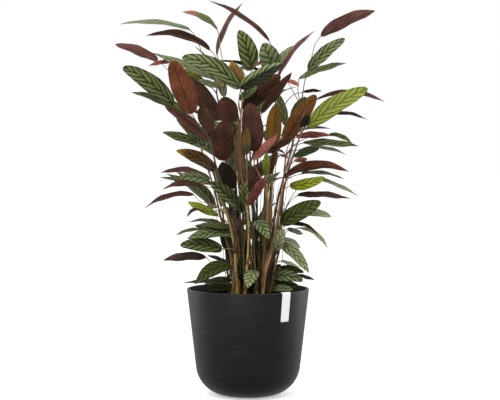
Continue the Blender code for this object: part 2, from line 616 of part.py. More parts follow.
def bend_cane(name, path, placed):
    """The same cane with its middle pushed nearer or farther until it is clear of the others."""
    tries = sorted((k * 0.006 for k in range(-12, 13)), key=lambda d: (abs(d), d))
    for low in tries:
        for high in tries:
            bent = [p.copy() for p in path]
            last = len(path) - 1
            for i in range(2, last + 1):
                t = (i - 1) / (last - 1)
                bent[i].y += low * math.sin(math.pi * t) + high * t * t
            if not placed.clash(name, cane_shell(bent, CLEARANCE)):
                return bent
    print("crowded cane:", name)
    return path


def pot_profile(grow=0.0):
    """The pot's outline as (radius, height), from the foot's middle round the outside and down the inside."""
    lean = math.atan(POT_TAPER)
    foot = POT_RIM_RADIUS - POT_TAPER * (POT_HEIGHT - POT_CURVE_HEIGHT) - POT_CURVE_RADIUS * math.cos(lean)
    outer, inner = POT_CURVE_RADIUS, POT_CURVE_RADIUS - POT_WALL
    points = [(0.0, 0.0)]
    steps = 6
    for i in range(steps + 1):
        turn = (math.pi / 2 - lean) * i / steps
        points.append((foot + (outer + grow) * math.sin(turn), outer - (outer + grow) * math.cos(turn)))
    rim = POT_RIM_RADIUS
    points += [
        (rim + grow, POT_HEIGHT - 0.0025),
        (rim - 0.0008 + grow, POT_HEIGHT - 0.0006 + grow),
        (rim - 0.0028, POT_HEIGHT + grow),
        (rim - POT_WALL + 0.0008 - grow, POT_HEIGHT - 0.0006 + grow),
        (rim - POT_WALL - grow, POT_HEIGHT - 0.0025),
    ]
    for i in range(steps - 1, 0, -1):
        turn = (math.pi / 2 - lean) * i / (steps - 1)
        points.append((foot + (inner - grow) * math.sin(turn), outer - (inner - grow) * math.cos(turn)))
    points.append((foot * 0.9, POT_FLOOR + grow))
    points.append((0.0, POT_FLOOR + grow))
    return points


def turned_shell(profile, sides):
    """Closed faces of an outline turned about the upright axis; its ends are on the axis."""
    ring = profile[1:-1]
    points = [Vector((0, 0, profile[0][1]))]
    for k in range(sides):
        turn = 2 * math.pi * k / sides
        points += [Vector((r * math.cos(turn), r * math.sin(turn), z)) for r, z in ring]
    points.append(Vector((0, 0, profile[-1][1])))
    count = len(ring)
    last = len(points) - 1
    faces = []
    for k in range(sides):
        a = 1 + k * count
        b = 1 + (k + 1) % sides * count
        faces.append((0, b, a))
        faces += [(a + i, b + i, b + i + 1, a + i + 1) for i in range(count - 1)]
        faces.append((a + count - 1, b + count - 1, last))
    return points, faces


def inner_radius(height):
    """The radius of the pot's inside at a height."""
    return POT_RIM_RADIUS - POT_WALL - POT_TAPER * (POT_HEIGHT - height)


def soil_profile():
    """The soil's outline, a small gap inside the pot."""
    lean = math.atan(POT_TAPER)
    foot = POT_RIM_RADIUS - POT_TAPER * (POT_HEIGHT - POT_CURVE_HEIGHT) - POT_CURVE_RADIUS * math.cos(lean)
    inner = POT_CURVE_RADIUS - POT_WALL - 0.0014
    steps = 4
    points = [(0.0, POT_FLOOR + FIT_GAP), (foot * 0.86, POT_FLOOR + FIT_GAP)]
    for i in range(1, steps + 1):
        turn = (math.pi / 2 - lean) * i / steps
        points.append((foot + inner * math.sin(turn), POT_CURVE_RADIUS - inner * math.cos(turn)))
    edge = inner_radius(SOIL_TOP) - 0.0011
    points += [(edge, SOIL_TOP - 0.003), (edge - 0.004, SOIL_TOP), (0.0, SOIL_TOP + SOIL_DOME)]
    return points


def tag_shell(grow=0.0):
    """The tag: a strap that follows the wall from its outside over the rim to its inside."""
    gap, thick = TAG_GAP - grow, TAG_THICKNESS + 2 * grow
    rim = POT_RIM_RADIUS
    drop = POT_TAPER * TAG_OUTSIDE
    near = [
        (rim - drop + gap, POT_HEIGHT - TAG_OUTSIDE),
        (rim + gap, POT_HEIGHT - 0.002),
        (rim - 0.001 + 0.6 * gap, POT_HEIGHT + 0.6 * gap),
        (rim - 0.5 * POT_WALL, POT_HEIGHT + gap),
        (rim - POT_WALL + 0.001 - 0.6 * gap, POT_HEIGHT + 0.6 * gap),
        (rim - POT_WALL - gap - 0.0004, POT_HEIGHT - 0.002),
        (rim - POT_WALL - gap - 0.0004 - POT_TAPER * TAG_INSIDE, POT_HEIGHT - TAG_INSIDE),
    ]
    full = gap + thick
    far = [
        (rim - drop + full, POT_HEIGHT - TAG_OUTSIDE),
        (rim + full, POT_HEIGHT - 0.001),
        (rim - 0.0005 + 0.75 * full, POT_HEIGHT + 0.75 * full),
        (rim - 0.5 * POT_WALL, POT_HEIGHT + full),
        (rim - POT_WALL + 0.0005 - 0.75 * full, POT_HEIGHT + 0.75 * full),
        (rim - POT_WALL - full - 0.0004, POT_HEIGHT - 0.001),
        (rim - POT_WALL - full - 0.0004 - POT_TAPER * TAG_INSIDE, POT_HEIGHT - TAG_INSIDE),
    ]
    outline = near + far[::-1]
    slices = 3
    points = []
    middle = TAG_TURN - math.pi / 2
    for k in range(slices + 1):
        turn = middle + TAG_WIDTH / rim * (k / slices - 0.5)
        points += [Vector((r * math.cos(turn), r * math.sin(turn), z)) for r, z in outline]
    count = len(outline)
    last = slices * count
    faces = [tuple(range(count)), tuple(last + i for i in range(count - 1, -1, -1))]
    for k in range(slices):
        for i in range(count):
            a = k * count + i
            b = k * count + (i + 1) % count
            faces.append((a, a + count, b + count, b))
    return points, faces


def solid(name, shell, colour):
    """A closed mesh object facing out, with its own material."""
    points, faces = shell
    mesh = bpy.data.meshes.new(name)
    mesh.from_pydata([tuple(p) for p in points], [], faces)
    bm = bmesh.new()
    bm.from_mesh(mesh)
    bmesh.ops.recalc_face_normals(bm, faces=bm.faces)
    bm.to_mesh(mesh)
    bm.free()
    material = bpy.data.materials.new(name)
    material.use_nodes = True
    material.node_tree.nodes["Principled BSDF"].inputs["Base Color"].default_value = (*colour, 1.0)
    mesh.materials.append(material)
    thing = bpy.data.objects.new(name, mesh)
    bpy.context.scene.collection.objects.link(thing)
    return thing


def join_with(body, parts, how):
    """One Boolean of a body with a collection of parts, applied; the parts are then removed."""
    group = bpy.data.collections.new(body.name + "_parts")
    bpy.context.scene.collection.children.link(group)
    for part in parts:
        bpy.context.scene.collection.objects.unlink(part)
        group.objects.link(part)
    boolean = body.modifiers.new(how.lower(), "BOOLEAN")
    boolean.operation = how
    boolean.operand_type = "COLLECTION"
    boolean.collection = group
    boolean.solver = "MANIFOLD"
    bpy.context.view_layer.objects.active = body
    bpy.ops.object.modifier_apply(modifier=boolean.name)
    for part in parts:
        bpy.data.objects.remove(part)
    bpy.data.collections.remove(group)


def build_pot():
    pot = solid("pot", turned_shell(pot_profile(), POT_SIDES), (0.03, 0.03, 0.032))
    for face in pot.data.polygons:
        face.use_smooth = abs(face.normal.z) < 0.98
    return pot


def build_soil(feet):
    soil = solid("soil", turned_shell(soil_profile(), SOIL_SIDES), (0.02, 0.014, 0.01))
    radius = CANE_FOOT_RADIUS + FIT_GAP / math.cos(math.pi / CANE_SIDES)
    cutters = []
    for k, foot in enumerate(feet):
        ends = [Vector((foot.x, foot.y, SOIL_TOP - HOLE_DEPTH)), Vector((foot.x, foot.y, SOIL_TOP + 0.02))]
        cutters.append(solid("hole_%d" % k, tube_shell(ends, (radius, radius), CANE_SIDES), (0, 0, 0)))
    join_with(soil, cutters, "DIFFERENCE")
    return soil


def build_tag():
    return solid("tag", tag_shell(), (0.85, 0.85, 0.83))


def build_stem(name, shells):
    cane = solid(name, shells[0], (0.12, 0.16, 0.05))
    parts = [solid("%s_part_%d" % (name, k), shell, (0.12, 0.16, 0.05)) for k, shell in enumerate(shells[1:])]
    if parts:
        join_with(cane, parts, "UNION")
    return cane


def main():
    for thing in list(bpy.data.objects):
        bpy.data.objects.remove(thing)
    stems = plan_stems()
    build_pot()
    build_soil([foot for _, foot, _ in stems])
    build_tag()
    for name, _, shells in stems:
        build_stem(name, shells)


if __name__ == "__main__":
    main()
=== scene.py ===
"""Potted calathea: the fine leaves, canes, tub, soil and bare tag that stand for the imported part's solids.

Sizes are in metres, +Z is up, the front faces -Y and the foot of the tub stands on z = 0.
Each stem is planned as its solid is: canes and leaves lie on the photograph's lines of sight, and each
leaf is moved in depth until it is clear of all that was placed before it.
"""

import math
import random
from collections import namedtuple

import bmesh
import bpy
from bpy.props import FloatProperty, FloatVectorProperty, IntProperty, PointerProperty
from mathutils import Matrix, Vector, noise
from mathutils.bvhtree import BVHTree


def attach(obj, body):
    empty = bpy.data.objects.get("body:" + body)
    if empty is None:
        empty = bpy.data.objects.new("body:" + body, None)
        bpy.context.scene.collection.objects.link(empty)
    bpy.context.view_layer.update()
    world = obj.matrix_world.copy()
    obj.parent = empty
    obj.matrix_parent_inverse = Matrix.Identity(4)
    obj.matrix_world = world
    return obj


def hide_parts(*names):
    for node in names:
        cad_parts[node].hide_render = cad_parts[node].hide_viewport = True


bl_info = {
    "name": "Potted calathea",
    "version": (1, 0, 0),
    "blender": (4, 5, 0),
    "location": "3D View > Sidebar > Calathea",
    "description": "Builds a calathea with waved, banded leaves in a matt tub, and its studio",
    "category": "Object",
}

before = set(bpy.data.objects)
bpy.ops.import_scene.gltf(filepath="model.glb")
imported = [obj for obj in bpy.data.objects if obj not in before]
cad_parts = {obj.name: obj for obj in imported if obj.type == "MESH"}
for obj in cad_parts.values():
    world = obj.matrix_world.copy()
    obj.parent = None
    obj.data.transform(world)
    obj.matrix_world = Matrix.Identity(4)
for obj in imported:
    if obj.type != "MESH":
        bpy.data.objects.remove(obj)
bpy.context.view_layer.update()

# Tub
POT_HEIGHT = 0.305
POT_RIM_RADIUS = 0.175
POT_WALL = 0.006
POT_FLOOR = 0.009
POT_CURVE_HEIGHT = 0.080
POT_CURVE_RADIUS = 0.0901
POT_TAPER = 0.1133

# The rounding of its lip: its depth, its shoulder's place, its middle's, and how far down from its top it
# carries a painted highlight
LIP_DEPTH = 0.0025
LIP_EASE = 0.0008
LIP_FALL = 0.0006
LIP_MIDDLE = 0.0028
LIP_SHOWS = 0.0012

# Soil
SOIL_TOP = 0.270
HOLE_DEPTH = 0.030
SOIL_STEPS = 84
SOIL_CROWN = 0.003
SOIL_BROWNS = ("#3a2a1e", "#57402c", "#2a201a", "#6b5138", "#4a3a2c", "#1f1813")

# Tag
TAG_WIDTH = 0.028
TAG_THICKNESS = 0.0011
TAG_OUTSIDE = 0.081
TAG_INSIDE = 0.020
TAG_TURN = math.radians(37.4)
TAG_GAP = 0.0009
TAG_FOLD = 0.003

# Canes, stalks and blades, as in the solids
CANE_FOOT_RADIUS = 0.0037
CANE_TOP_RADIUS = 0.0021
CANE_SIDES = 5
CANE_STEPS = 4
STALK_FOOT_RADIUS = 0.0015
STALK_TIP_RADIUS = 0.0009
STALK_STEPS = 2
STALK_HIGHEST = 0.985
BLADE_THICKNESS = 0.0009
BLADE_ARCH = 0.05
BLADE_FOLD = 0.16
BLADE_STATIONS = (0.13, 0.46, 0.82)
SHORT_BLADE = 0.120
SHORT_STATIONS = (0.20, 0.72)

# A blade's outline is a power of a sine, skewed towards its base
BLADE_SKEW = 0.85
BLADE_POWER = 0.45

# A blade's broad waves: their height, how fast they turn, how far the margins lag, and the least half width
# that holds them in full, as a share of the blade's width
BLADE_WAVE = 0.0028
WAVE_TURNS = 4.2
WAVE_LAG = 0.8
WAVE_ROOM = 0.2

# The true length of a leaf that is seen at an angle, and its least width for its length
SEEN_SPARE = 1.03
SEEN_SHARE = 0.62
SEEN_LENGTH = 0.075
SLIMMEST = 0.27

# Where the canes stand, and how they, the leaves and the stalks are moved clear of one another
ROOT_SPACING = 0.013
ROOT_REACH = 0.145
ROOT_GAP = 0.001
FOOT_RISE = 0.012
FOOT_TRIES = 16
BEND_STEP = 0.006
BEND_TRIES = 12
CLEARANCE = 0.0022
OBSTACLE_ROOM = 0.003
DEPTH_STEP = 0.009
DEPTH_TRIES = 13
STALK_BENDS = (0.0, 0.014, -0.014, 0.028, -0.028, 0.045, -0.045)

# A direction that no cane or stalk runs along, from which the two across a path are taken
SIDEWAYS = Vector((0.31, 0.95, 0.08))

# The photograph: its viewpoint, the tilt of the camera and its focal length in pixels of 500 x 400
VIEW = Vector((0.0057, -4.0, 0.700))
VIEW_DOWN = math.radians(2.04)
VIEW_FOCAL = 1400.0
VIEW_WIDTH = 500.0
VIEW_MIDDLE = (250.0, 200.0)
PIXEL = 0.002857

# Studio
SENSOR_WIDTH = 36.0
FLOOR_SIZE = 40.0
FLOOR_DROP = 0.0005
LIT_SPOT = Vector((0, 0, 0.6))

# A Mix node's sockets for colours: how much of the second, the two colours and the result
SHARE, UNDER, OVER, MIXED = 0, 6, 7, 2
MULTIPLY = {"data_type": "RGBA", "blend_type": "MULTIPLY"}

# Leaf faces by name: the ground of an upper face, its bands, the colour that its tip turns to and from where,
# how much darker the half that lies in shadow is, and how broad the bands are
Face = namedtuple("Face", "ground mark tip turns shadow bands", defaults=("", 0.6, 0.0, 0.78))
FACES = {
    "sage": Face("#8e986c", "#424e22", bands=0.62),
    "moss": Face("#7b865a", "#323c1a"),
    "fern": Face("#6c7444", "#2b3416"),
    "olive": Face("#4e5422", "#2a3010"),
    # night and gloom are greens for leaves deep in the plant's shade: their darkness is painted shade
    "night": Face("#404a26", "#1e250c"),
    "gloom": Face("#2c341c", "#151b0b"),
    "lime": Face("#8b963e", "#5a661c", bands=0.66),
    "citrus": Face("#9ca42e", "#626b18"),
    "frost": Face("#b2b68c", "#79805a", bands=0.62),
    "mist": Face("#9ca074", "#6c7448", bands=0.7),
    "umber": Face("#543c18", "#2e200d", "#966a1c", 0.80),
    "honey": Face("#48441e", "#302e12", "#66481e", 0.25),
    "dusk": Face("#70504a", "#4f3632"),
    "blush": Face("#828c58", "#454e22", "#b8706a", 0.58),
    "pear": Face("#8a9258", "#3a461a", bands=0.78),
    "halved": Face("#727a44", "#2c3415", shadow=0.45),
    "folded": Face("#a2ac74", "#4c5630", shadow=0.92),
}
# Undersides by name, and their ribs
UNDERS = {
    "wine": ("#583c30", "#6e4c3e"),
    "plum": ("#5b3a30", "#724c40"),
    "mauve": ("#7c524a", "#946a60"),
    "dun": ("#624a40", "#7a5e54"),
    "garnet": ("#8a4d43", "#a0645a"),
    # This rust colour is partly the underside's own and partly painted light glowing through the leaf
    "rust": ("#73412b", "#4c2a1c"),
    "rose": ("#925e56", "#a87066"),
    "cerise": ("#ac625c", "#bc7a70"),
    "russet": ("#704334", "#8a5a48"),
    "coral": ("#cf7a6c", "#dc9484"),
    # This gold colour is partly the underside's own and partly painted light glowing through the leaf
    "amber": ("#7a5a24", "#6b3f1c"),
    "tan": ("#6e4826", "#52311c"),
    "bronze": ("#5c3c17", "#4e3414"),
    # This near-black underside is the wine one darkened by painted shade, for leaves deep in the plant
    "ink": ("#382b22", "#4a382c"),
}
# Canes by name: their foot and their top
BARKS = {
    "orange": ("#a06c34", "#96703e"),
    "salmon": ("#bc9c58", "#a8744e"),
    "golden": ("#b4964c", "#ac9450"),
    "tawny": ("#b4964c", "#94682c"),
    "olive": ("#a08c48", "#4c402a"),
    "brown": ("#80603a", "#7a6440"),
    "red": ("#845040", "#8a5848"),
    "gilded": ("#a88844", "#a87c3e"),
    # shadowed: its near-black foot is painted shade, below a golden top
    "shadowed": ("#261d12", "#c0964a"),
}
# Barks that light falls in on above the foot, and how much
GLOW = {"gilded": 0.45, "tawny": 0.12}
# Leaf stalks against the canes, and the dry sheaths
RUNNER_SKINS = ("#80502e", "#946a34", "#a08440", "#6b4430")
SHEATH_SKINS = ("#94743c", "#a08048", "#ac9454", "#745430")

Blade = namedtuple("Blade", "base tip normal across arch bow width phase")
Leaf = namedtuple("Leaf", "base tip width look reach bow via depth joins", defaults=(0.0, (), 0.0, 1.0))
Stem = namedtuple("Stem", "name bark path depths leaves")

# Each stem's path runs from just above the soil to its top, and each leaf from its base to its tip,
# as pixels of the photograph. Depths are in metres, away from the viewer, at the foot and the top.
# A leaf's width is in pixels as it is seen: above zero its upper face shows, below zero its underside.
# Its reach says how much of its true length turns towards the viewer, and bow how far it arches, in pixels.
# Its stalk leaves the cane at the share that joins gives, and passes the spots of via.
# Its depth is its base's, from the depth of the cane's top.
STEMS = (
    Stem("stem_left_orange", "orange", path=(
        (236, 292), (231, 255), (219, 212), (210, 172), (203, 155), (201, 149),
    ), depths=(-0.06, -0.04), leaves=(
        Leaf((197, 142), (162.5, 132.5), 9.5, "fern", 0.6),
        Leaf((203, 146), (174, 111), 11, "moss", -0.4, depth=0.03),
        Leaf((209, 141), (164, 105), -12, "mauve", 0.7, 1.0),
        Leaf((212, 140), (203, 119), -13, "ink", -0.5),
    )),
    Stem("stem_left_front", "golden", path=(
        (238, 292), (236, 270), (233, 240), (226, 212), (218, 194), (216, 189),
    ), depths=(-0.09, -0.12), leaves=(
        Leaf((210, 183), (177, 177), 12, "moss", 1.0, 3.0),
        Leaf((202, 186), (163, 189.5), -7, "mauve", 0.5, 4.0),
        Leaf((194, 195), (145, 208.5), -6, "mauve", 0.4, 5.0, via=((199, 201),), joins=0.8),
        Leaf((210, 179), (160.5, 173), -7, "mauve", -0.3, 5.0, depth=0.04),
        Leaf((215, 170), (176, 150.5), 13, "umber", 0.8, 3.0),
    )),
    Stem("stem_left_low", "brown", path=(
        (236, 292), (236, 280), (236.5, 258), (236, 240), (234, 230),
    ), depths=(-0.04, -0.03), leaves=(
        Leaf((218, 216), (188, 202), 9, "citrus", -0.5),
        Leaf((219, 208), (207, 206), 4, "night", -0.8),
        Leaf((200, 210), (187, 217), 4, "dusk", 0.3, 3.0),
        Leaf((232, 227), (197, 225), 7, "fern", 0.6),
        Leaf((205, 227), (194, 226), -6, "wine", -0.4),
        Leaf((220, 223), (188, 222.5), 4, "fern", -0.5, 2.0),
        Leaf((202, 230), (176, 235.5), 4, "fern", 0.3, 2.0),
        Leaf((233, 264), (229, 241), 13, "gloom", 0.2, depth=0.05, joins=0.4),
        Leaf((237, 288), (214, 286), 7, "gloom", 0.2, 1.0, depth=0.07, joins=0.12),
    )),
    Stem("stem_left_fan", "golden", path=(
        (234, 292), (235, 275), (235, 262), (236, 249),
    ), depths=(-0.07, -0.06), leaves=(
        Leaf((222, 249), (180, 245), 14, "fern", 0.5, 2.0),
        Leaf((234, 235), (187, 239), 12, "moss", 0.9, 4.0),
        Leaf((206, 257.5), (163.5, 260.5), -9, "dun", 0.3, 2.0, via=((213, 266),), joins=0.5),
    )),
    Stem("stem_left_rim", "brown", path=(
        (233, 293), (233, 283), (233, 275),
    ), depths=(-0.10, -0.11), leaves=(
        Leaf((228, 263), (207, 255.5), -5, "ink", -0.7),
        Leaf((231, 266), (195, 284), 15, "olive", 1.0, 5.0),
        Leaf((232, 280), (205, 283.5), 8, "night", -0.3, 1.0, depth=0.04),
        Leaf((231, 284.5), (183, 283.5), 5, "night", 0.0, 2.0, depth=-0.02),
        Leaf((232, 287), (206, 289.5), 8, "olive", 0.2, 1.0, depth=0.03, joins=0.25),
    )),
    Stem("stem_front_drooping", "olive", path=(
        (257, 293), (257, 285), (257, 277),
    ), depths=(-0.10, -0.10), leaves=(
        Leaf((256, 271), (247.5, 288.5), 16, "sage", 0.9, 2.0),
        Leaf((258, 270), (264, 281), 7, "night", -0.5),
    )),
    Stem("stem_right_fan", "shadowed", path=(
        (269, 292), (274, 272), (279, 252), (281, 238),
    ), depths=(-0.07, -0.08), leaves=(
        Leaf((281, 223), (321, 202), 17, "olive", 0.5, 1.0),
        Leaf((284, 225), (318.5, 235), -4.5, "plum", 0.3, 5.0),
        Leaf((298, 228), (327.5, 249), 5, "mist", 0.3, 5.0),
        Leaf((287, 229), (303, 234), 6, "fern", -0.6),
        Leaf((281, 239), (300, 248), 9, "frost", -0.6, 1.0, depth=0.02),
        Leaf((279, 243), (309, 273), 12, "sage", 1.0, 3.0),
    )),
    Stem("stem_right_low", "brown", path=(
        (267, 293), (270, 280), (273, 268),
    ), depths=(-0.01, -0.02), leaves=(
        Leaf((281, 261), (300, 268), 5, "frost", -0.4),
        Leaf((277, 270), (304, 272.5), 8, "night", 0.4, 2.0, depth=0.02),
        Leaf((273, 277), (303, 280.5), 12, "moss", 0.3, 3.0, depth=-0.03, joins=0.7),
        Leaf((298, 275), (314.5, 280), 4, "night", 0.2, via=((288, 272),)),
        Leaf((270, 286), (299, 286.5), 8, "fern", 0.2, 2.0, depth=0.04, joins=0.3),
    )),
    Stem("stem_right_orange", "salmon", path=(
        (262, 292), (265, 275), (269.5, 258), (274, 240), (277, 220), (280, 200), (283, 184),
    ), depths=(-0.10, -0.12), leaves=(
        Leaf((283, 178), (349, 172), -10.5, "russet", 0.4, 9.0),
        Leaf((301, 174), (344.5, 179.5), 4, "olive", -0.2, 3.0, depth=0.03),
        Leaf((290, 186), (325, 177.5), 11, "citrus", 0.5, -2.0, depth=0.05, joins=0.9),
        Leaf((294, 161), (307, 159), -5, "garnet", 0.3),
        Leaf((294, 157), (319, 148.5), 8, "night", -0.4, 1.0, depth=0.02),
    )),
    Stem("stem_right_pink", "red", path=(
        (266, 292), (272, 262), (280, 240), (281, 205), (284, 180), (286, 153),
    ), depths=(-0.03, -0.05), leaves=(
        Leaf((296, 137), (330, 135.5), -7, "cerise", 0.2, 1.0),
        Leaf((303, 143), (359, 146.5), 8, "fern", 0.5, 1.0),
        Leaf((328, 135), (352, 144), 5, "fern", 0.2, 3.0, via=((312, 136),)),
        Leaf((299, 150), (346, 155), 4, "mist", 0.4, 4.0),
        Leaf((269, 153), (295, 136), -8, "wine", 0.8),
        Leaf((270, 289), (293, 289.5), 7, "moss", 0.2, 1.0, depth=-0.02, joins=0.08),
    )),
    Stem("stem_right_golden", "gilded", path=(
        (266, 292), (269, 250), (271, 222), (272, 180), (272, 160),
    ), depths=(0.01, -0.01), leaves=(
        Leaf((272, 150), (276, 104), -16, "amber", 0.6),
        Leaf((271, 174), (277, 149), -8, "tan", 0.9),
        Leaf((286, 126), (278, 94), 10, "fern", -0.6),
        Leaf((284, 142), (316, 95), -17, "tan", 0.5, 1.0),
        Leaf((292, 118), (306, 97), 12, "night", -0.7),
        Leaf((272, 286), (280, 264), 12, "night", 0.2, depth=0.03, joins=0.1),
        Leaf((272, 256), (277, 233), 12, "night", 0.2, depth=0.04, joins=0.25),
    )),
    Stem("stem_middle_pink", "shadowed", path=(
        (261, 292), (264, 250), (267, 222), (268, 205), (267, 185),
    ), depths=(-0.09, -0.12), leaves=(
        Leaf((266, 175), (266, 152), 8, "lime", 0.4),
        Leaf((254, 161), (278, 134), -9, "coral", 0.9, via=((258, 172),), depth=-0.02, joins=0.9),
        Leaf((266, 182), (281, 172), 5, "fern", 0.5),
        Leaf((265, 250), (268, 227), 13, "night", 0.2, depth=0.08, joins=0.3),
    )),
    Stem("stem_middle_front", "golden", path=(
        (244, 292), (247, 265), (248.5, 240), (248, 222), (247.5, 212),
    ), depths=(-0.12, -0.14), leaves=(
        Leaf((248, 206), (265, 177), -11, "garnet", 0.9),
        Leaf((246, 188), (262, 164), -16, "wine", 0.5, depth=0.04),
        Leaf((245, 206), (243, 180), 10, "fern", 0.3, depth=0.03),
        Leaf((247, 155), (247, 128), 9, "honey", -0.5, via=((247, 180),), depth=0.05),
        Leaf((246, 282), (241, 256), 14, "gloom", 0.3, depth=0.06, joins=0.15),
    )),
    Stem("stem_middle_hanging", "olive", path=(
        (257, 292), (254.5, 262), (253, 229),
    ), depths=(-0.08, -0.12), leaves=(
        Leaf((255, 221), (269, 240), 14, "moss", 1.0, 2.0),
        Leaf((250, 220), (232, 232), -7, "wine", 0.6, 2.0),
        Leaf((255, 266), (258, 240), 13, "gloom", 0.3, depth=0.06, joins=0.35),
    )),
    Stem("stem_middle_left", "olive", path=(
        (241, 292), (242.5, 255), (241, 225), (240, 216),
    ), depths=(-0.05, -0.10), leaves=(
        Leaf((239, 209), (208, 181.5), 15, "halved", 0.9, 3.0),
        Leaf((243, 262), (247, 236), 14, "gloom", 0.2, depth=0.06, joins=0.4),
    )),
    Stem("stem_golden", "tawny", path=(
        (244, 292), (248, 258), (246, 215), (240, 180), (240.5, 150), (241, 112),
    ), depths=(-0.02, -0.08), leaves=(
        Leaf((240, 88), (182, 57), 17, "moss", 0.6, 6.0),
        Leaf((241, 88), (231, 61), -15, "amber", -0.5),
        Leaf((241, 88), (283, 64), 14, "folded", 0.6, 1.0),
        Leaf((239, 100), (257, 86), 9, "moss", -0.5, depth=0.03),
        Leaf((240, 190), (238.5, 119), -11, "bronze", 0.1, depth=0.05, joins=0.55),
        Leaf((252, 284), (254, 260), 13, "gloom", 0.2, depth=0.05, joins=0.12),
    )),
    Stem("stem_middle_tall", "brown", path=(
        (259, 292), (253, 240), (247, 200), (248, 175), (251, 161),
    ), depths=(0.02, -0.01), leaves=(
        Leaf((254, 152), (250, 103), -22, "plum", 0.7),
        Leaf((256, 196), (250, 166), -18, "wine", 0.3, depth=0.03, joins=0.7),
        Leaf((243, 110), (280, 75), -17, "wine", 0.5, via=((247, 135),)),
        Leaf((262, 113), (292, 72.5), -10, "plum", 0.5, via=((258, 135),)),
    )),
    Stem("stem_middle_dark", "brown", path=(
        (238, 292), (237.5, 250), (235, 215), (232, 195), (228, 176),
    ), depths=(-0.02, -0.05), leaves=(
        Leaf((223, 161), (224, 120), -24, "wine", 0.9),
        Leaf((232, 190), (222, 162), -20, "ink", 1.0, depth=-0.03, joins=0.9),
        Leaf((229, 124), (225, 97), -22, "plum", 0.4, via=((230, 150),), depth=0.03),
        Leaf((232, 222), (240, 196), -15, "ink", 0.6, depth=0.04, joins=0.7),
        Leaf((237, 246), (241, 223), 14, "night", 0.2, depth=0.05, joins=0.35),
    )),
    Stem("stem_left_upper", "olive", path=(
        (240, 292), (238, 262), (230, 225), (222, 190), (215, 163), (212, 147), (211, 139),
    ), depths=(-0.05, -0.07), leaves=(
        Leaf((173, 104), (123, 67), 17, "fern", 0.7, 3.0, via=((188, 118),)),
        Leaf((188, 113), (131.5, 92.5), 9, "fern", -0.3, 2.0, via=((198, 124),)),
        Leaf((192, 114), (172, 61), -22, "rust", 0.7, via=((201, 127),)),
        Leaf((211, 132), (200, 108), -14, "wine", 0.3, depth=0.05),
    )),
    Stem("stem_left_back", "brown", path=(
        (240, 292), (237, 250), (233, 205), (226, 165), (221, 140), (219, 132),
    ), depths=(0.02, 0.03), leaves=(
        Leaf((219, 120), (188, 77), -18, "wine", 0.4),
        Leaf((158, 61), (115, 44.5), -10, "rose", 0.3, 2.0,
             via=((200, 100), (176, 78), (167, 69), (163, 65))),
        Leaf((171, 62), (149, 66), -5, "coral", 0.5, 1.0, via=((185, 80),)),
        Leaf((229, 250), (222, 228), 12, "night", 0.2, depth=0.03, joins=0.3),
    )),
    Stem("stem_upper_left", "olive", path=(
        (240, 292), (239.5, 240), (236, 190), (228, 150), (220, 115), (217, 97), (216, 90),
    ), depths=(0.03, 0.01), leaves=(
        Leaf((214, 80), (151, 53), 8, "sage", 0.3, 1.0),
        Leaf((206, 85), (184, 69), 9, "citrus", -0.6),
        Leaf((217, 86), (197, 80), 7, "mist", 0.5),
    )),
    Stem("stem_top_left", "golden", path=(
        (242, 292), (243, 230), (240, 170), (231, 125), (222, 97), (221, 84),
    ), depths=(0.06, 0.05), leaves=(
        Leaf((210, 50), (146, 36), -9, "plum", 0.5, 8.0, via=((217, 60),)),
        Leaf((190, 30), (120, 24.5), 5.5, "sage", 0.2, 4.0, via=((203, 55), (198, 42)), depth=0.02),
        Leaf((217, 29), (182, 12), 7, "blush", 0.4, 4.0, via=((223, 64), (220, 47)), depth=-0.02),
        Leaf((217, 55), (243, 3), -6, "mauve", 0.2, 4.0, via=((222, 66),), depth=0.04),
        Leaf((243, 252), (247, 229), 13, "night", 0.2, joins=0.22),
    )),
    Stem("stem_top_middle", "brown", path=(
        (260, 292), (256, 230), (250, 170), (250, 120), (250, 95), (250.5, 84),
    ), depths=(0.07, 0.05), leaves=(
        Leaf((251, 70), (239, 30), 20, "pear", 0.8, 2.0),
        Leaf((255, 66), (261, 62), -4, "coral", 0.4),
        Leaf((241, 67), (247, 70), 4, "moss", 0.4, via=((246.5, 78),), depth=0.02),
        Leaf((256, 289), (251, 266), 14, "night", 0.2, depth=0.02, joins=0.08),
        Leaf((254, 240), (257, 217), 13, "night", 0.2, depth=0.03, joins=0.3),
    )),
    Stem("stem_top_right", "golden", path=(
        (261, 292), (264, 230), (270, 170), (276, 130), (276, 104), (275.5, 88),
    ), depths=(0.05, 0.03), leaves=(
        Leaf((269, 41), (209, 1), -5.5, "mauve", 0.3, 4.0,
             via=((274, 68), (273.5, 60), (272, 48)), depth=-0.05),
        Leaf((273, 68), (263, 43), 22, "sage", 0.5),
        Leaf((274, 66), (297, 46), 9, "mist", -0.4, 1.0, depth=0.04),
        Leaf((278, 79), (315, 31), -5.5, "rose", 0.2, 4.0),
        Leaf((262, 73), (218, 61), -4, "ink", 0.3, 3.0, depth=0.06),
    )),
    Stem("stem_right_upper", "orange", path=(
        (264, 292), (271.5, 240), (280, 190), (291, 150), (299, 120), (302, 103),
    ), depths=(0.04, 0.03), leaves=(
        Leaf((321, 36), (375, 11), -13, "mauve", 0.3, 3.0,
             via=((305, 80), (312.5, 54), (315, 44), (318, 40))),
        Leaf((308.5, 69.5), (345, 38.5), 12.5, "moss", 0.6, 2.0, via=((304, 85), (306.5, 76)), depth=-0.03),
        Leaf((299, 79), (346.5, 63.5), 7.5, "pear", 0.4, 2.0, depth=0.03),
        Leaf((287, 80.5), (299, 86), -5, "coral", 0.4, 1.0, depth=0.01),
    )),
    Stem("stem_right_front", "brown", path=(
        (264, 292), (273, 245), (282, 200), (291, 160), (298, 140), (301, 133),
    ), depths=(-0.06, -0.10), leaves=(
        Leaf((307, 127), (368, 88.5), 17.5, "lime", 0.5, 3.0),
        Leaf((301, 128), (309, 115), -9, "ink", 0.6),
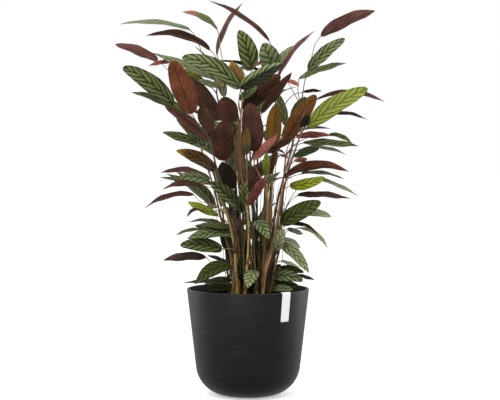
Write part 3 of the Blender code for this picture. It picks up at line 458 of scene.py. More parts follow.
        Leaf((317, 99.5), (384.5, 102), -6, "rose", 0.1, 7.0, via=((303, 115),), depth=0.06),
        Leaf((330, 114.5), (367, 120), -4, "dun", 0.3, 3.0, via=((314, 118),), depth=0.05),
        Leaf((276, 250), (284, 229), 11, "mist", 0.2, depth=0.06, joins=0.28),
    )),
    Stem("stem_right_thin", "olive", path=(
        (263, 292), (267.5, 230), (272, 175), (278, 135), (283, 107),
    ), depths=(0.08, 0.09), leaves=(
        Leaf((303, 92.5), (322, 91.5), -4, "ink", 0.3, 1.0, via=((293, 95),)),
    )),
    Stem("stem_right_middle", "brown", path=(
        (267, 292), (276, 250), (281, 222), (284, 211),
    ), depths=(-0.02, -0.03), leaves=(
        Leaf((297, 196), (350.5, 199), -7, "dun", 0.4, 2.0, via=((290, 202),)),
        Leaf((312, 178), (358, 196.5), 4.5, "mist", 0.2, 2.0, via=((298, 188),)),
        Leaf((303, 213), (331, 217), 8, "frost", -0.4, 2.0),
    )),
)

# What each random draw starts from: looks of hidden leaves, shades, stalks that crowd, and crumbs
TINT_SEED = 5
SHADE_SEED = 3
CROWD_SEED = 8
SOIL_SEED = 21

# Canes with twice as many leaf stalks against them
CROWDED = (
    "stem_right_orange", "stem_right_pink", "stem_right_middle", "stem_middle_pink", "stem_right_golden",
)

# Stems at the back, which the photograph hides: where they stand and lean, how their leaves are turned, in
# degrees, and the leaves' length, arch and width
HIDDEN_STEMS = 7
HIDDEN_SEED = 11
HIDDEN_LEAVES = 4
HIDDEN_FOOT = (0.060, 0.130)
HIDDEN_SIDE = 0.055
HIDDEN_TOP_HEIGHT = (0.50, 0.92)
HIDDEN_SPREAD = 0.075
HIDDEN_LEAN = (0.04, 0.10)
HIDDEN_BELLY = 0.015
HIDDEN_FAN = 55
HIDDEN_SWING = 42
HIDDEN_RISE = (-5, 60)
HIDDEN_LENGTH = (0.150, 0.190)
HIDDEN_ARCH = 0.09
HIDDEN_WIDTH = 0.29
HIDDEN_LOOKS = ("moss", "moss", "fern", "fern", "olive", "olive")

# Short young shoots between the canes
SHOOTS = 2
SHOOT_FOOT = (0.03, 0.06)
SHOOT_SPAN = (-0.020, 0.035)
SHOOT_TOP_HEIGHT = (0.33, 0.43)
SHOOT_STRAY = 0.008
SHOOT_LEAN = (-0.01, 0.02)
SHOOT_LEAVES = 3
SHOOT_RISE = (50, 74)
SHOOT_LENGTH = (0.100, 0.135)

# How finely each blade, stalk and cane is drawn, and how fine a point closes them
BLADE_STEPS = 30
BLADE_COLUMNS = 8
CANE_RING = 10
STALK_RING = 6
POINT_RADIUS = 0.00002

# The length of a blade whose bands stand the full spacing apart, how far the bands of its two halves are
# offset, as a share of that spacing, and how fast its margin ripples
LONG_BLADE = 0.19
HALVES_OFFSET = 0.45
RIPPLE_TURNS = 11


def linear(code):
    """A linear colour with alpha from an sRGB hex code."""
    parts = [int(code[i:i + 2], 16) / 255 for i in (1, 3, 5)]
    return tuple(c / 12.92 if c <= 0.04045 else ((c + 0.055) / 1.055) ** 2.4 for c in parts) + (1.0,)


def blend(first, second, share):
    """The colour at a share of the way from the first to the second."""
    return tuple(a + (b - a) * share for a, b in zip(first, second))


class LeafSettings(bpy.types.PropertyGroup):
    """Markings and finish of the leaves and canes."""

    band_spacing: FloatProperty(
        name="Band spacing",
        description="Distance between dark bands along the midrib of a long leaf",
        default=0.030, min=0.004, unit="LENGTH", subtype="DISTANCE",
    )
    band_sweep: FloatProperty(
        name="Band sweep",
        description="Share of the blade's length that a band runs on from the midrib to the margin",
        default=0.36, min=0.0, max=1.0, subtype="FACTOR",
    )
    ripple: FloatProperty(
        name="Margin ripple",
        description="Height of the small waves at a leaf's margin",
        default=0.0005, min=0.0, unit="LENGTH", subtype="DISTANCE",
    )
    rib_radius: FloatProperty(
        name="Rib radius",
        description="Radius of the raised midrib where the blade begins",
        default=0.0011, min=0.0002, unit="LENGTH", subtype="DISTANCE",
    )
    face_roughness: FloatProperty(
        name="Face roughness",
        description="Roughness of the waxy upper faces",
        default=0.42, min=0.0, max=1.0, subtype="FACTOR",
    )
    under_roughness: FloatProperty(
        name="Underside roughness",
        description="Roughness of the matt undersides",
        default=0.55, min=0.0, max=1.0, subtype="FACTOR",
    )
    joint_spacing: FloatProperty(
        name="Cane joints",
        description="Distance between the rings of a cane",
        default=0.058, min=0.01, unit="LENGTH", subtype="DISTANCE",
    )


class PotSettings(bpy.types.PropertyGroup):
    """Colour and finish of the tub."""

    colour: FloatVectorProperty(
        name="Colour",
        description="Colour of the moulded tub",
        default=linear("#1f1f21"), size=4, min=0.0, max=1.0, subtype="COLOR",
    )
    roughness: FloatProperty(
        name="Roughness",
        description="Roughness of the matt skin",
        default=0.50, min=0.0, max=1.0, subtype="FACTOR",
    )
    grain: FloatProperty(
        name="Grain",
        description="Size of the fine moulded grain",
        default=0.0016, min=0.0002, unit="LENGTH", subtype="DISTANCE",
    )


class SoilSettings(bpy.types.PropertyGroup):
    """Colour and crumbs of the potting soil."""

    colour: FloatVectorProperty(
        name="Colour",
        description="Colour of the damp soil",
        default=linear("#2e231b"), size=4, min=0.0, max=1.0, subtype="COLOR",
    )
    crumbs: IntProperty(
        name="Crumbs",
        description="Number of loose crumbs and bark chips",
        default=420, min=0, max=2000,
    )
    crumb_size: FloatProperty(
        name="Crumb size",
        description="Half the length of a large chip",
        default=0.0065, min=0.001, unit="LENGTH", subtype="DISTANCE",
    )


class TagSettings(bpy.types.PropertyGroup):
    """Colour and weave of the bare tag."""

    colour: FloatVectorProperty(
        name="Colour",
        description="Colour of the undyed tape",
        default=linear("#fbfbfa"), size=4, min=0.0, max=1.0, subtype="COLOR",
    )
    thread: FloatProperty(
        name="Thread",
        description="Spacing of the tape's threads",
        default=0.0009, min=0.0002, unit="LENGTH", subtype="DISTANCE",
    )


class StageSettings(bpy.types.PropertyGroup):
    """Light and floor of the studio."""

    side_power: FloatProperty(
        name="Side lights",
        description="Power of the right side soft box; the left one has three quarters of it",
        default=17.0, min=0.0, unit="POWER",
    )
    front_power: FloatProperty(
        name="Front light",
        description="Power of the soft box above the camera",
        default=46.0, min=0.0, unit="POWER",
    )
    sky_front: FloatProperty(
        name="Room",
        description="Brightness of the room in front of the plant and below",
        default=0.16, min=0.0,
    )
    sky_side: FloatProperty(
        name="Side paper",
        description="Added brightness of the paper beside the plant",
        default=0.35, min=0.0,
    )
    sky_back: FloatProperty(
        name="Back paper",
        description="Added brightness of the paper behind the plant",
        default=0.70, min=0.0,
    )
    sky_top: FloatProperty(
        name="Ceiling",
        description="Added brightness of the ceiling",
        default=0.45, min=0.0,
    )
    floor_glow: FloatProperty(
        name="Floor glow",
        description="Light that comes up through the floor",
        default=0.46, min=0.0,
    )
    floor_colour: FloatVectorProperty(
        name="Floor",
        description="Colour of the pale floor",
        default=linear("#f0f0f0"), size=4, min=0.0, max=1.0, subtype="COLOR",
    )


def clamp(value):
    """The value, or the nearer of 0 and 1 where it is beyond them."""
    return min(max(value, 0.0), 1.0)


def around(turn, radius, height):
    """The point at a turn about the upright axis, a radius and a height."""
    return Vector((radius * math.cos(turn), radius * math.sin(turn), height))


def nearest_first(step, tries):
    """Shifts both ways in even steps, the smallest first."""
    return sorted((k * step for k in range(-tries, tries + 1)), key=lambda d: (abs(d), d))


def sight(spot, depth):
    """The point that the photograph shows at a spot, on the upright plane y = depth."""
    right = spot[0] - VIEW_MIDDLE[0]
    up = VIEW_MIDDLE[1] - spot[1]
    ray = Vector((
        right,
        VIEW_FOCAL * math.cos(VIEW_DOWN) + up * math.sin(VIEW_DOWN),
        up * math.cos(VIEW_DOWN) - VIEW_FOCAL * math.sin(VIEW_DOWN),
    ))
    return VIEW + ray * ((depth - VIEW.y) / ray.y)


def smooth_path(points, steps):
    """Points along a smooth curve through the given ones, steps to each stretch."""
    ends = [points[0] * 2 - points[1]] + list(points) + [points[-1] * 2 - points[-2]]
    path = []
    for i in range(1, len(ends) - 2):
        a, b, c, d = ends[i - 1:i + 3]
        for k in range(steps):
            t = k / steps
            square = (2 * a - 5 * b + 4 * c - d) * t * t
            cube = (3 * b - a - 3 * c + d) * t ** 3
            path.append(0.5 * (2 * b + (c - a) * t + square + cube))
    return path + [points[-1].copy()]


def way_on(path, i):
    """The way that a path runs on at one of its points."""
    return path[min(i + 1, len(path) - 1)] - path[max(i - 1, 0)]


def along(path, share):
    """The point and direction at a share of a path's length."""
    lengths = [(b - a).length for a, b in zip(path, path[1:])]
    left = share * sum(lengths)
    for a, b, length in zip(path, path[1:], lengths):
        if left <= length or b is path[-1]:
            return a.lerp(b, min(left / length, 1.0)), (b - a).normalized()
        left -= length


def even_path(path, steps):
    """The same path in a number of even steps."""
    return [along(path, k / steps)[0] for k in range(steps + 1)]


def seen_blade(leaf, depth, phase):
    """The blade of a leaf seen in the photograph, its base at a depth."""
    base = sight(leaf.base, depth)
    flat = sight(leaf.tip, depth)
    seen = (flat - base).length
    length = max(SEEN_SPARE * seen, SEEN_SHARE * seen + SEEN_LENGTH)
    tip = sight(leaf.tip, depth - leaf.reach * math.sqrt(length ** 2 - seen ** 2))
    line = (tip - base).normalized()
    to_viewer = (VIEW - base).normalized()
    facing = (to_viewer - line * to_viewer.dot(line)).normalized()
    upward = facing.cross(line).normalized()
    upward *= 1.0 if upward.z >= 0 else -1.0
    width = max(abs(leaf.width) * PIXEL * SEEN_SPARE, SLIMMEST * (tip - base).length)
    turn = leaf.width * PIXEL / width
    normal = facing * turn + upward * math.sqrt(1 - turn * turn)
    arch = facing * (turn * BLADE_ARCH * length)
    bow = upward * leaf.bow * PIXEL
    return Blade(base, tip, normal, line.cross(normal).normalized(), arch, bow, width, phase)


def blade_line(blade, t):
    """The midrib of a blade at a share t of its length."""
    return blade.base.lerp(blade.tip, t) + (blade.arch + blade.bow) * (4 * t * (1 - t))


def blade_wave(blade, t, side, calm=1.0):
    """The height of a blade's broad waves, which grow towards its margins."""
    turn = WAVE_TURNS * math.pi * t + blade.phase + WAVE_LAG * side
    return BLADE_WAVE * calm * side * abs(side) * math.sin(turn)


def blade_place(blade, t, side, half, wave):
    """A point of a blade from its half width and its wave there; both halves fold up along the midrib."""
    rise = BLADE_FOLD * abs(side) * half + wave * min(1.0, half / (WAVE_ROOM * blade.width))
    return blade_line(blade, t) + blade.across * (side * half) + blade.normal * rise


def blade_point(blade, t, side):
    """A point of a blade, side running from -1 at one margin to 1 at the other."""
    half = 0.5 * blade.width * max(math.sin(math.pi * t ** BLADE_SKEW), 0.0) ** BLADE_POWER
    return blade_place(blade, t, side, half, blade_wave(blade, t, side))


def leaf_shell(path, blade, thickness, grow=0.0):
    """Closed triangles of a stalk and the blade it runs into, as in the solids."""
    radii = taper(len(path), STALK_FOOT_RADIUS, STALK_TIP_RADIUS)
    points = []
    right = blade.across
    for i in range(len(path) - 1, -1, -1):
        ahead = way_on(path, i) if len(path) > 1 else blade.tip - blade.base
        ahead.normalize()
        right = (right - ahead * ahead.dot(right)).normalized()
        up = right.cross(ahead)
        radius = radii[i] + grow
        # The stalk's section is a triangle with one corner up
        points.append(path[i] + up * radius)
        points.append(path[i] + (right * 0.87 - up * 0.5) * radius)
        points.append(path[i] - (right * 0.87 + up * 0.5) * radius)
    faces = [(len(points) - 3, len(points) - 2, len(points) - 1)]
    for a in range(0, len(points) - 3, 3):
        for k in range(3):
            b = (k + 1) % 3
            faces += [(a + k, a + b, a + 3 + k), (a + b, a + 3 + b, a + 3 + k)]
    lift = blade.normal * (thickness / 2)
    short = (blade.tip - blade.base).length < SHORT_BLADE
    stations = SHORT_STATIONS if short else BLADE_STATIONS
    # A station has three corners on the upper face and three on the underside
    first = len(points)
    for t in stations:
        row = [blade_point(blade, t, side) for side in (1.0, 0.0, -1.0)]
        points += [p + lift for p in row] + [p - lift for p in reversed(row)]
    a = first
    faces += [(0, a, a + 1), (0, a + 1, a + 2), (0, 1, a), (1, a + 5, a), (0, a + 2, 2), (2, a + 2, a + 3)]
    faces += [(1, 2, a + 4), (1, a + 4, a + 5), (2, a + 3, a + 4)]
    for n in range(len(stations) - 1):
        a = first + 6 * n
        b = a + 6
        faces += [(a, b, a + 1), (b, b + 1, a + 1), (a + 1, b + 1, b + 2), (a + 1, b + 2, a + 2)]
        faces += [(a + 5, a + 4, b + 5), (b + 5, a + 4, b + 4), (a + 4, b + 3, b + 4), (a + 4, a + 3, b + 3)]
        faces += [(a, a + 5, b), (b, a + 5, b + 5), (a + 2, b + 2, a + 3), (b + 2, b + 3, a + 3)]
    tip = len(points)
    points += [blade.tip + lift, blade.tip - lift]
    a = tip - 6
    faces += [(a, tip, a + 1), (a + 1, tip, a + 2), (a + 5, a + 4, tip + 1), (a + 4, a + 3, tip + 1)]
    faces += [(a, a + 5, tip), (a + 5, tip + 1, tip), (a + 2, tip, a + 3), (a + 3, tip, tip + 1)]
    return points, faces


def tube_shell(path, radii, sides):
    """Closed triangles of a tube along a path."""
    points = []
    for i, centre in enumerate(path):
        ahead = way_on(path, i)
        first = ahead.cross(SIDEWAYS).normalized()
        second = ahead.cross(first).normalized()
        for k in range(sides):
            turn = 2 * math.pi * k / sides
            points.append(centre + (first * math.cos(turn) + second * math.sin(turn)) * radii[i])
    faces = []
    for i in range(len(path) - 1):
        for k in range(sides):
            a = i * sides + k
            b = i * sides + (k + 1) % sides
            faces += [(a, b, a + sides), (b, b + sides, a + sides)]
    end = (len(path) - 1) * sides
    for k in range(1, sides - 1):
        faces += [(0, k + 1, k), (end, end + k, end + k + 1)]
    return points, faces


def stalk_path(cane, leaf, blade, bend):
    """A stalk's path: out of the cane, along what the photograph shows of it and into its blade."""
    start, way = along(cane, min(leaf.joins, STALK_HIGHEST))
    into = (blade_line(blade, 0.1) - blade.base).normalized()
    stops = [start]
    for k, spot in enumerate(leaf.via):
        stops.append(sight(spot, start.y + (blade.base.y - start.y) * (k + 1) / (len(leaf.via) + 1)))
    stops.append(blade.base)
    path = []
    for i in range(len(stops) - 1):
        a, b = stops[i], stops[i + 1]
        out = way if i == 0 else (b - stops[i - 1]).normalized()
        back = into if i == len(stops) - 2 else (stops[i + 2] - a).normalized()
        reach = 0.9 * (b - a).length
        for k in range(STALK_STEPS):
            t = k / STALK_STEPS
            spot = a * (2 * t ** 3 - 3 * t * t + 1) + out * reach * (t ** 3 - 2 * t * t + t)
            spot += b * (3 * t * t - 2 * t ** 3) + back * reach * (t ** 3 - t * t)
            if i == 0:
                spot.y += bend * math.sin(math.pi * t)
            path.append(spot)
    return path + [blade.base.copy()]


def taper(count, first, last):
    """Even steps from the first value to the last; a count of one gives the last."""
    return [last + (first - last) * i / max(count - 1, 1) for i in range(count - 1, -1, -1)]


class Placed:
    """The triangles already placed, which what comes after them keeps clear of."""

    def __init__(self):
        self.shells = []

    def add(self, owner, kind, shell):
        """Keeps a shell, with the piece that it belongs to and what part of it it is."""
        points, faces = shell
        tree = BVHTree.FromPolygons(points, faces)
        self.shells.append((owner, kind, low_corner(points), high_corner(points), tree))

    def clash(self, owner, shell, own_kinds=()):
        """Whether a shell meets one of another piece, or one of these kinds of its own piece."""
        points, faces = shell
        low, high = low_corner(points), high_corner(points)
        tree = None
        for other, kind, other_low, other_high, other_tree in self.shells:
            if other == owner and kind not in own_kinds:
                continue
            if any(low[k] > other_high[k] or high[k] < other_low[k] for k in range(3)):
                continue
            tree = tree or BVHTree.FromPolygons(points, faces)
            if tree.overlap(other_tree):
                return True
        return False


def low_corner(points):
    """The lowest corner of the points' box."""
    return tuple(min(p[k] for p in points) for k in range(3))


def high_corner(points):
    """The highest corner of the points' box."""
    return tuple(max(p[k] for p in points) for k in range(3))


def rooted(foot, curve):
    """A cane's whole path: its foot down in the soil, and a curve above it in even steps."""
    root = Vector((foot.x, foot.y, SOIL_TOP - HOLE_DEPTH + ROOT_GAP))
    return [root] + even_path(smooth_path(curve, 3), CANE_STEPS)


def has_room(spot, feet):
    """Whether a foot is far enough from all the others."""
    return all(math.hypot(spot.x - other.x, spot.y - other.y) >= ROOT_SPACING for other in feet)


def cane_path(stem, feet):
    """A cane's path, its foot moved along the line of sight until it has room in the soil."""
    foot_depth, top_depth = stem.depths
    foot = sight(stem.path[0], foot_depth)
    for shift in nearest_first(0.5 * ROOT_SPACING, FOOT_TRIES):
        spot = sight(stem.path[0], foot_depth + shift)
        if math.hypot(spot.x, spot.y) <= ROOT_REACH and has_room(spot, feet):
            foot = spot
            break
    feet.append(foot)
    stops = [Vector((foot.x, foot.y, SOIL_TOP + FOOT_RISE))]
    low, high = stem.path[0][1], stem.path[-1][1]
    for spot in stem.path[1:]:
        share = (low - spot[1]) / (low - high)
        stops.append(sight(spot, foot.y + (top_depth - foot.y) * share))
    return rooted(foot, stops)


def cane_shell(path, grow=0.0):
    """Closed triangles of a cane, as in the solids; its part in the soil is as thick as its foot."""
    radii = [CANE_FOOT_RADIUS] + taper(len(path) - 1, CANE_FOOT_RADIUS, CANE_TOP_RADIUS)
    return tube_shell(path, [r + grow for r in radii], CANE_SIDES)


def place_leaf(name, cane, leaf, make, placed):
    """The stalk and blade of a leaf, moved in depth and bent until clear of what is placed."""
    for shift in nearest_first(DEPTH_STEP, DEPTH_TRIES):
        blade = make(shift)
        alone = leaf_shell([blade.base], blade, 2 * CLEARANCE)
        if placed.clash(name, alone, ("blade",)):
            continue
        for bend in STALK_BENDS:
            path = stalk_path(cane, leaf, blade, bend)
            whole = leaf_shell(path, blade, 2 * CLEARANCE, CLEARANCE)
            if not placed.clash(name, whole):
                placed.add(name, "stalk", whole)
                placed.add(name, "blade", alone)
                return path, blade
    return None


def heading(turn, rise):
    """A direction from its turn about the upright axis and its rise above the level."""
    return Vector((math.cos(turn) * math.cos(rise), math.sin(turn) * math.cos(rise), math.sin(rise)))


def hidden_stems(draw):
    """Stems at the back and young shoots: each a foot, a top and the directions of its leaves."""
    stems = []
    for i in range(HIDDEN_STEMS):
        share = (i + 0.5) / HIDDEN_STEMS
        side = 2 * ((i * 0.618) % 1.0) - 1
        height = HIDDEN_TOP_HEIGHT[0] + (HIDDEN_TOP_HEIGHT[1] - HIDDEN_TOP_HEIGHT[0]) * share
        foot = Vector((side * HIDDEN_SIDE, draw.uniform(*HIDDEN_FOOT), SOIL_TOP))
        top = Vector((side * HIDDEN_SPREAD, foot.y + draw.uniform(*HIDDEN_LEAN), height))
        leaves = []
        for k in range(HIDDEN_LEAVES):
            turn = math.radians(90 - HIDDEN_FAN * side + draw.uniform(-HIDDEN_SWING, HIDDEN_SWING))
            way = heading(turn, math.radians(draw.uniform(*HIDDEN_RISE)))
            length = draw.uniform(*HIDDEN_LENGTH)
            leaves.append((way, length, draw.uniform(0.82, 1.0), draw.uniform(-0.5, 0.5)))
        stems.append(("stem_hidden_%d" % (i + 1), foot, top, leaves))
    for i in range(SHOOTS):
        share = i / (SHOOTS - 1)
        across = SHOOT_SPAN[0] + (SHOOT_SPAN[1] - SHOOT_SPAN[0]) * share
        foot = Vector((across, draw.uniform(*SHOOT_FOOT), SOIL_TOP))
        top = Vector((
            foot.x + draw.uniform(-SHOOT_STRAY, SHOOT_STRAY),
            foot.y + draw.uniform(*SHOOT_LEAN),
            draw.uniform(*SHOOT_TOP_HEIGHT),
        ))
        leaves = []
        for k in range(SHOOT_LEAVES):
            turn = 2 * math.pi * (k / SHOOT_LEAVES + 0.19 * i)
            way = heading(turn, math.radians(draw.uniform(*SHOOT_RISE)))
            length = draw.uniform(*SHOOT_LENGTH)
            leaves.append((way, length, draw.uniform(0.5, 1.0), draw.uniform(-0.8, 0.8)))
        stems.append(("stem_shoot_%d" % (i + 1), foot, top, leaves))
    return stems


def hidden_blade(base, way, length, roll, phase):
    """A blade of a hidden stem, its upper face turned up."""
    side = way.cross(Vector((0, 0, 1))).normalized()
    normal = side.cross(way).normalized()
    normal = (normal * math.cos(roll) + side * math.sin(roll)).normalized()
    across = way.cross(normal).normalized()
    arch = normal * (HIDDEN_ARCH * length)
    tip = base + way * length
    return Blade(base, tip, normal, across, arch, Vector((0, 0, 0)), HIDDEN_WIDTH * length, phase)


def bend_cane(name, path, placed):
    """The same cane with its middle pushed nearer or farther until it is clear of the others."""
    tries = nearest_first(BEND_STEP, BEND_TRIES)
    last = len(path) - 1
    for low in tries:
        for high in tries:
            bent = [p.copy() for p in path]
            for i in range(2, last + 1):
                t = (i - 1) / (last - 1)
                bent[i].y += low * math.sin(math.pi * t) + high * t * t
            if not placed.clash(name, cane_shell(bent, CLEARANCE)):
                return bent
    return path


def plan_canes(draw, placed):
    """Every cane as its name, its path and its source: its Stem, or the leaves of a hidden stem."""
    feet = []
    canes = [(stem.name, cane_path(stem, feet), stem) for stem in STEMS]
    for name, foot, top, leaves in hidden_stems(draw):
        middle = foot.lerp(top, 0.5) + Vector((0, -HIDDEN_BELLY, 0))
        while not has_room(foot, feet):
            foot.y += 0.5 * ROOT_SPACING
        feet.append(foot)
        start = Vector((foot.x, foot.y, SOIL_TOP + FOOT_RISE))
        canes.append((name, rooted(foot, [start, middle, top]), leaves))
    clear = []
    for name, path, source in canes:
        if placed.clash(name, cane_shell(path, CLEARANCE)):
            path = bend_cane(name, path, placed)
        placed.add(name, "cane", cane_shell(path, CLEARANCE))
        clear.append((name, path, source))
    return clear


def seen_leaf(leaf, depth, phase):
    """A leaf of the photograph, and what makes its blade at a shift in depth."""
    return leaf, lambda shift: seen_blade(leaf, depth + leaf.depth + shift, phase)


def hidden_leaf(path, leaf, look, phase):
    """A leaf of a hidden stem, and what makes its blade at a shift in depth."""
    way, length, joins, roll = leaf
    start, _ = along(path, joins)

    def make(shift):
        # A stalk some 4 cm long, and a leaf that is moved back is also moved up
        base = start + way * 0.04 + Vector((0, shift, 0.02 + 0.3 * shift))
        return hidden_blade(base, way, length, roll, phase)

    return Leaf((0, 0), (0, 0), 1, look, 0, joins=joins), make


def plan_stems():
    """Every stem as its name, bark, cane path and leaves: each a stalk's path, a blade and a look."""
    placed = Placed()
    placed.add("pot", "pot", turned_shell(pot_profile(OBSTACLE_ROOM), 24))
    placed.add("tag", "tag", tag_shell(OBSTACLE_ROOM))
    draw = random.Random(HIDDEN_SEED)
    canes = plan_canes(draw, placed)
    stems = []
    tint = random.Random(TINT_SEED)
    for name, path, source in canes:
        seen = isinstance(source, Stem)
        made = []
        for leaf in source.leaves if seen else source:
            phase = draw.uniform(0, 6.28)
            if seen:
                shape, make = seen_leaf(leaf, path[-1].y, phase)
            else:
                look = "night" if "shoot" in name else tint.choice(HIDDEN_LOOKS)
                shape, make = hidden_leaf(path, leaf, look, phase)
            found = place_leaf(name, path, shape, make, placed)
            if found:
                made.append((*found, shape.look))
        stems.append((name, source.bark if seen else tint.choice(("olive", "brown")), path, made))
    return stems


def pot_profile(grow=0.0, steps=6):
    """The tub's outline as (radius, height), from the foot's middle round the outside and down the inside."""
    lean = math.atan(POT_TAPER)
    foot = POT_RIM_RADIUS - POT_TAPER * (POT_HEIGHT - POT_CURVE_HEIGHT) - POT_CURVE_RADIUS * math.cos(lean)
    outer, inner = POT_CURVE_RADIUS, POT_CURVE_RADIUS - POT_WALL
    points = [(0.0, 0.0)]
    for i in range(steps + 1):
        turn = (math.pi / 2 - lean) * i / steps
        points.append((foot + (outer + grow) * math.sin(turn), outer - (outer + grow) * math.cos(turn)))
    rim = POT_RIM_RADIUS
    points += [
        (rim + grow, POT_HEIGHT - LIP_DEPTH),
        (rim - LIP_EASE + grow, POT_HEIGHT - LIP_FALL + grow),
        (rim - LIP_MIDDLE, POT_HEIGHT + grow),
        (rim - POT_WALL + LIP_EASE - grow, POT_HEIGHT - LIP_FALL + grow),
        (rim - POT_WALL - grow, POT_HEIGHT - LIP_DEPTH),
    ]
    for i in range(steps - 1, 0, -1):
        turn = (math.pi / 2 - lean) * i / (steps - 1)
        points.append((foot + (inner - grow) * math.sin(turn), outer - (inner - grow) * math.cos(turn)))
    points.append((foot * 0.9, POT_FLOOR + grow))
    points.append((0.0, POT_FLOOR + grow))
    return points


def turned_shell(profile, sides):
    """Closed faces of an outline turned about the upright axis; its ends are on the axis."""
    ring = profile[1:-1]
    points = [Vector((0, 0, profile[0][1]))]
    for k in range(sides):
        points += [around(2 * math.pi * k / sides, r, z) for r, z in ring]
    points.append(Vector((0, 0, profile[-1][1])))
    count = len(ring)
    last = len(points) - 1
    faces = []
    for k in range(sides):
        a = 1 + k * count
        b = 1 + (k + 1) % sides * count
        faces.append((0, b, a))
        faces += [(a + i, b + i, b + i + 1, a + i + 1) for i in range(count - 1)]
        faces.append((a + count - 1, b + count - 1, last))
    return points, faces


def inner_radius(height):
    """The radius of the tub's inside at a height."""
    return POT_RIM_RADIUS - POT_WALL - POT_TAPER * (POT_HEIGHT - height)


def tag_side(gap, fall, ease, share):
    """A face of the tag as (radius, height): up outside the tub, over its rim and down inside, a gap away."""
    rim = POT_RIM_RADIUS
    inside = rim - POT_WALL - gap - 0.0004
    return [
        (rim - POT_TAPER * TAG_OUTSIDE + gap, POT_HEIGHT - TAG_OUTSIDE),
        (rim + gap, POT_HEIGHT - fall),
        (rim - ease + share * gap, POT_HEIGHT + share * gap),
        (rim - 0.5 * POT_WALL, POT_HEIGHT + gap),
        (rim - POT_WALL + ease - share * gap, POT_HEIGHT + share * gap),
        (inside, POT_HEIGHT - fall),
        (inside - POT_TAPER * TAG_INSIDE, POT_HEIGHT - TAG_INSIDE),
    ]


def tag_shell(grow=0.0):
    """The tag as an obstacle: a strap over the rim."""
    gap = TAG_GAP - grow
    full = gap + (TAG_THICKNESS + 2 * grow)
    outline = tag_side(gap, 0.002, 0.001, 0.6) + tag_side(full, 0.001, 0.0005, 0.75)[::-1]
    slices = 3
    points = []
    for k in range(slices + 1):
        turn = TAG_TURN - math.pi / 2 + TAG_WIDTH / POT_RIM_RADIUS * (k / slices - 0.5)
        points += [around(turn, r, z) for r, z in outline]
    count = len(outline)
    last = slices * count
    faces = [tuple(range(count)), tuple(last + i for i in range(count - 1, -1, -1))]
    for k in range(slices):
        for i in range(count):
            a = k * count + i
            b = k * count + (i + 1) % count
            faces.append((a, a + count, b + count, b))
    return points, faces


def add(tree, kind, inputs=(), out=0, stops=(), **settings):
    """Adds a node: its settings, its ramp's stops and its inputs, values or sockets; gives an output."""
    node = tree.nodes.new("ShaderNode" + kind)
    for name, value in settings.items():
        setattr(node, name, value)
    for k, (place, level) in enumerate(stops):
        element = node.color_ramp.elements[k] if k < 2 else node.color_ramp.elements.new(place)
        element.position = place
        element.color = (level, level, level, 1.0)
    for key, value in inputs.items() if isinstance(inputs, dict) else enumerate(inputs):
        if isinstance(value, bpy.types.NodeSocket):
            tree.links.new(value, node.inputs[key])
        else:
            node.inputs[key].default_value = value
    return node.outputs[out]


def surface(name, **values):
    """A material of that name with plain numbers set on its shader; gives it, its tree and the shader."""
    material = bpy.data.materials.new(name)
    material.use_nodes = True
    shader = material.node_tree.nodes["Principled BSDF"]
    for key, value in values.items():
        shader.inputs[key.replace("_", " ")].default_value = value
    return material, material.node_tree, shader


def vein_places(tree):
    """Where a point lies among the bands, its distance out from the midrib, and its place on the object."""
    map_uv = add(tree, "UVMap", uv_map="Veins")
    q = add(tree, "SeparateXYZ", [map_uv], "X")
    out = add(tree, "SeparateXYZ", [map_uv], "Y")
    place = add(tree, "TexCoord", out="Object")
    # The bands wander by up to half a band over some 25 mm, and shiver a little over 7 mm
    for size, reach in ((0.025, 0.9), (0.007, 0.07)):
        drift = add(tree, "TexNoise", {"Vector": place, "Scale": 1 / size, "Detail": 1.0})
        drift = add(tree, "Math", [drift, 0.5], operation="SUBTRACT")
        q = add(tree, "Math", [drift, reach, q], operation="MULTIPLY_ADD")
    return q, out, place


def undulation(tree, place):
    """The soft hollows of a living blade, some 40 mm across."""
    hollow = add(tree, "TexNoise", {"Vector": place, "Scale": 1 / 0.04, "Detail": 1.0})
    return add(tree, "Bump", {"Strength": 1.0, "Distance": 0.006, "Height": hollow})


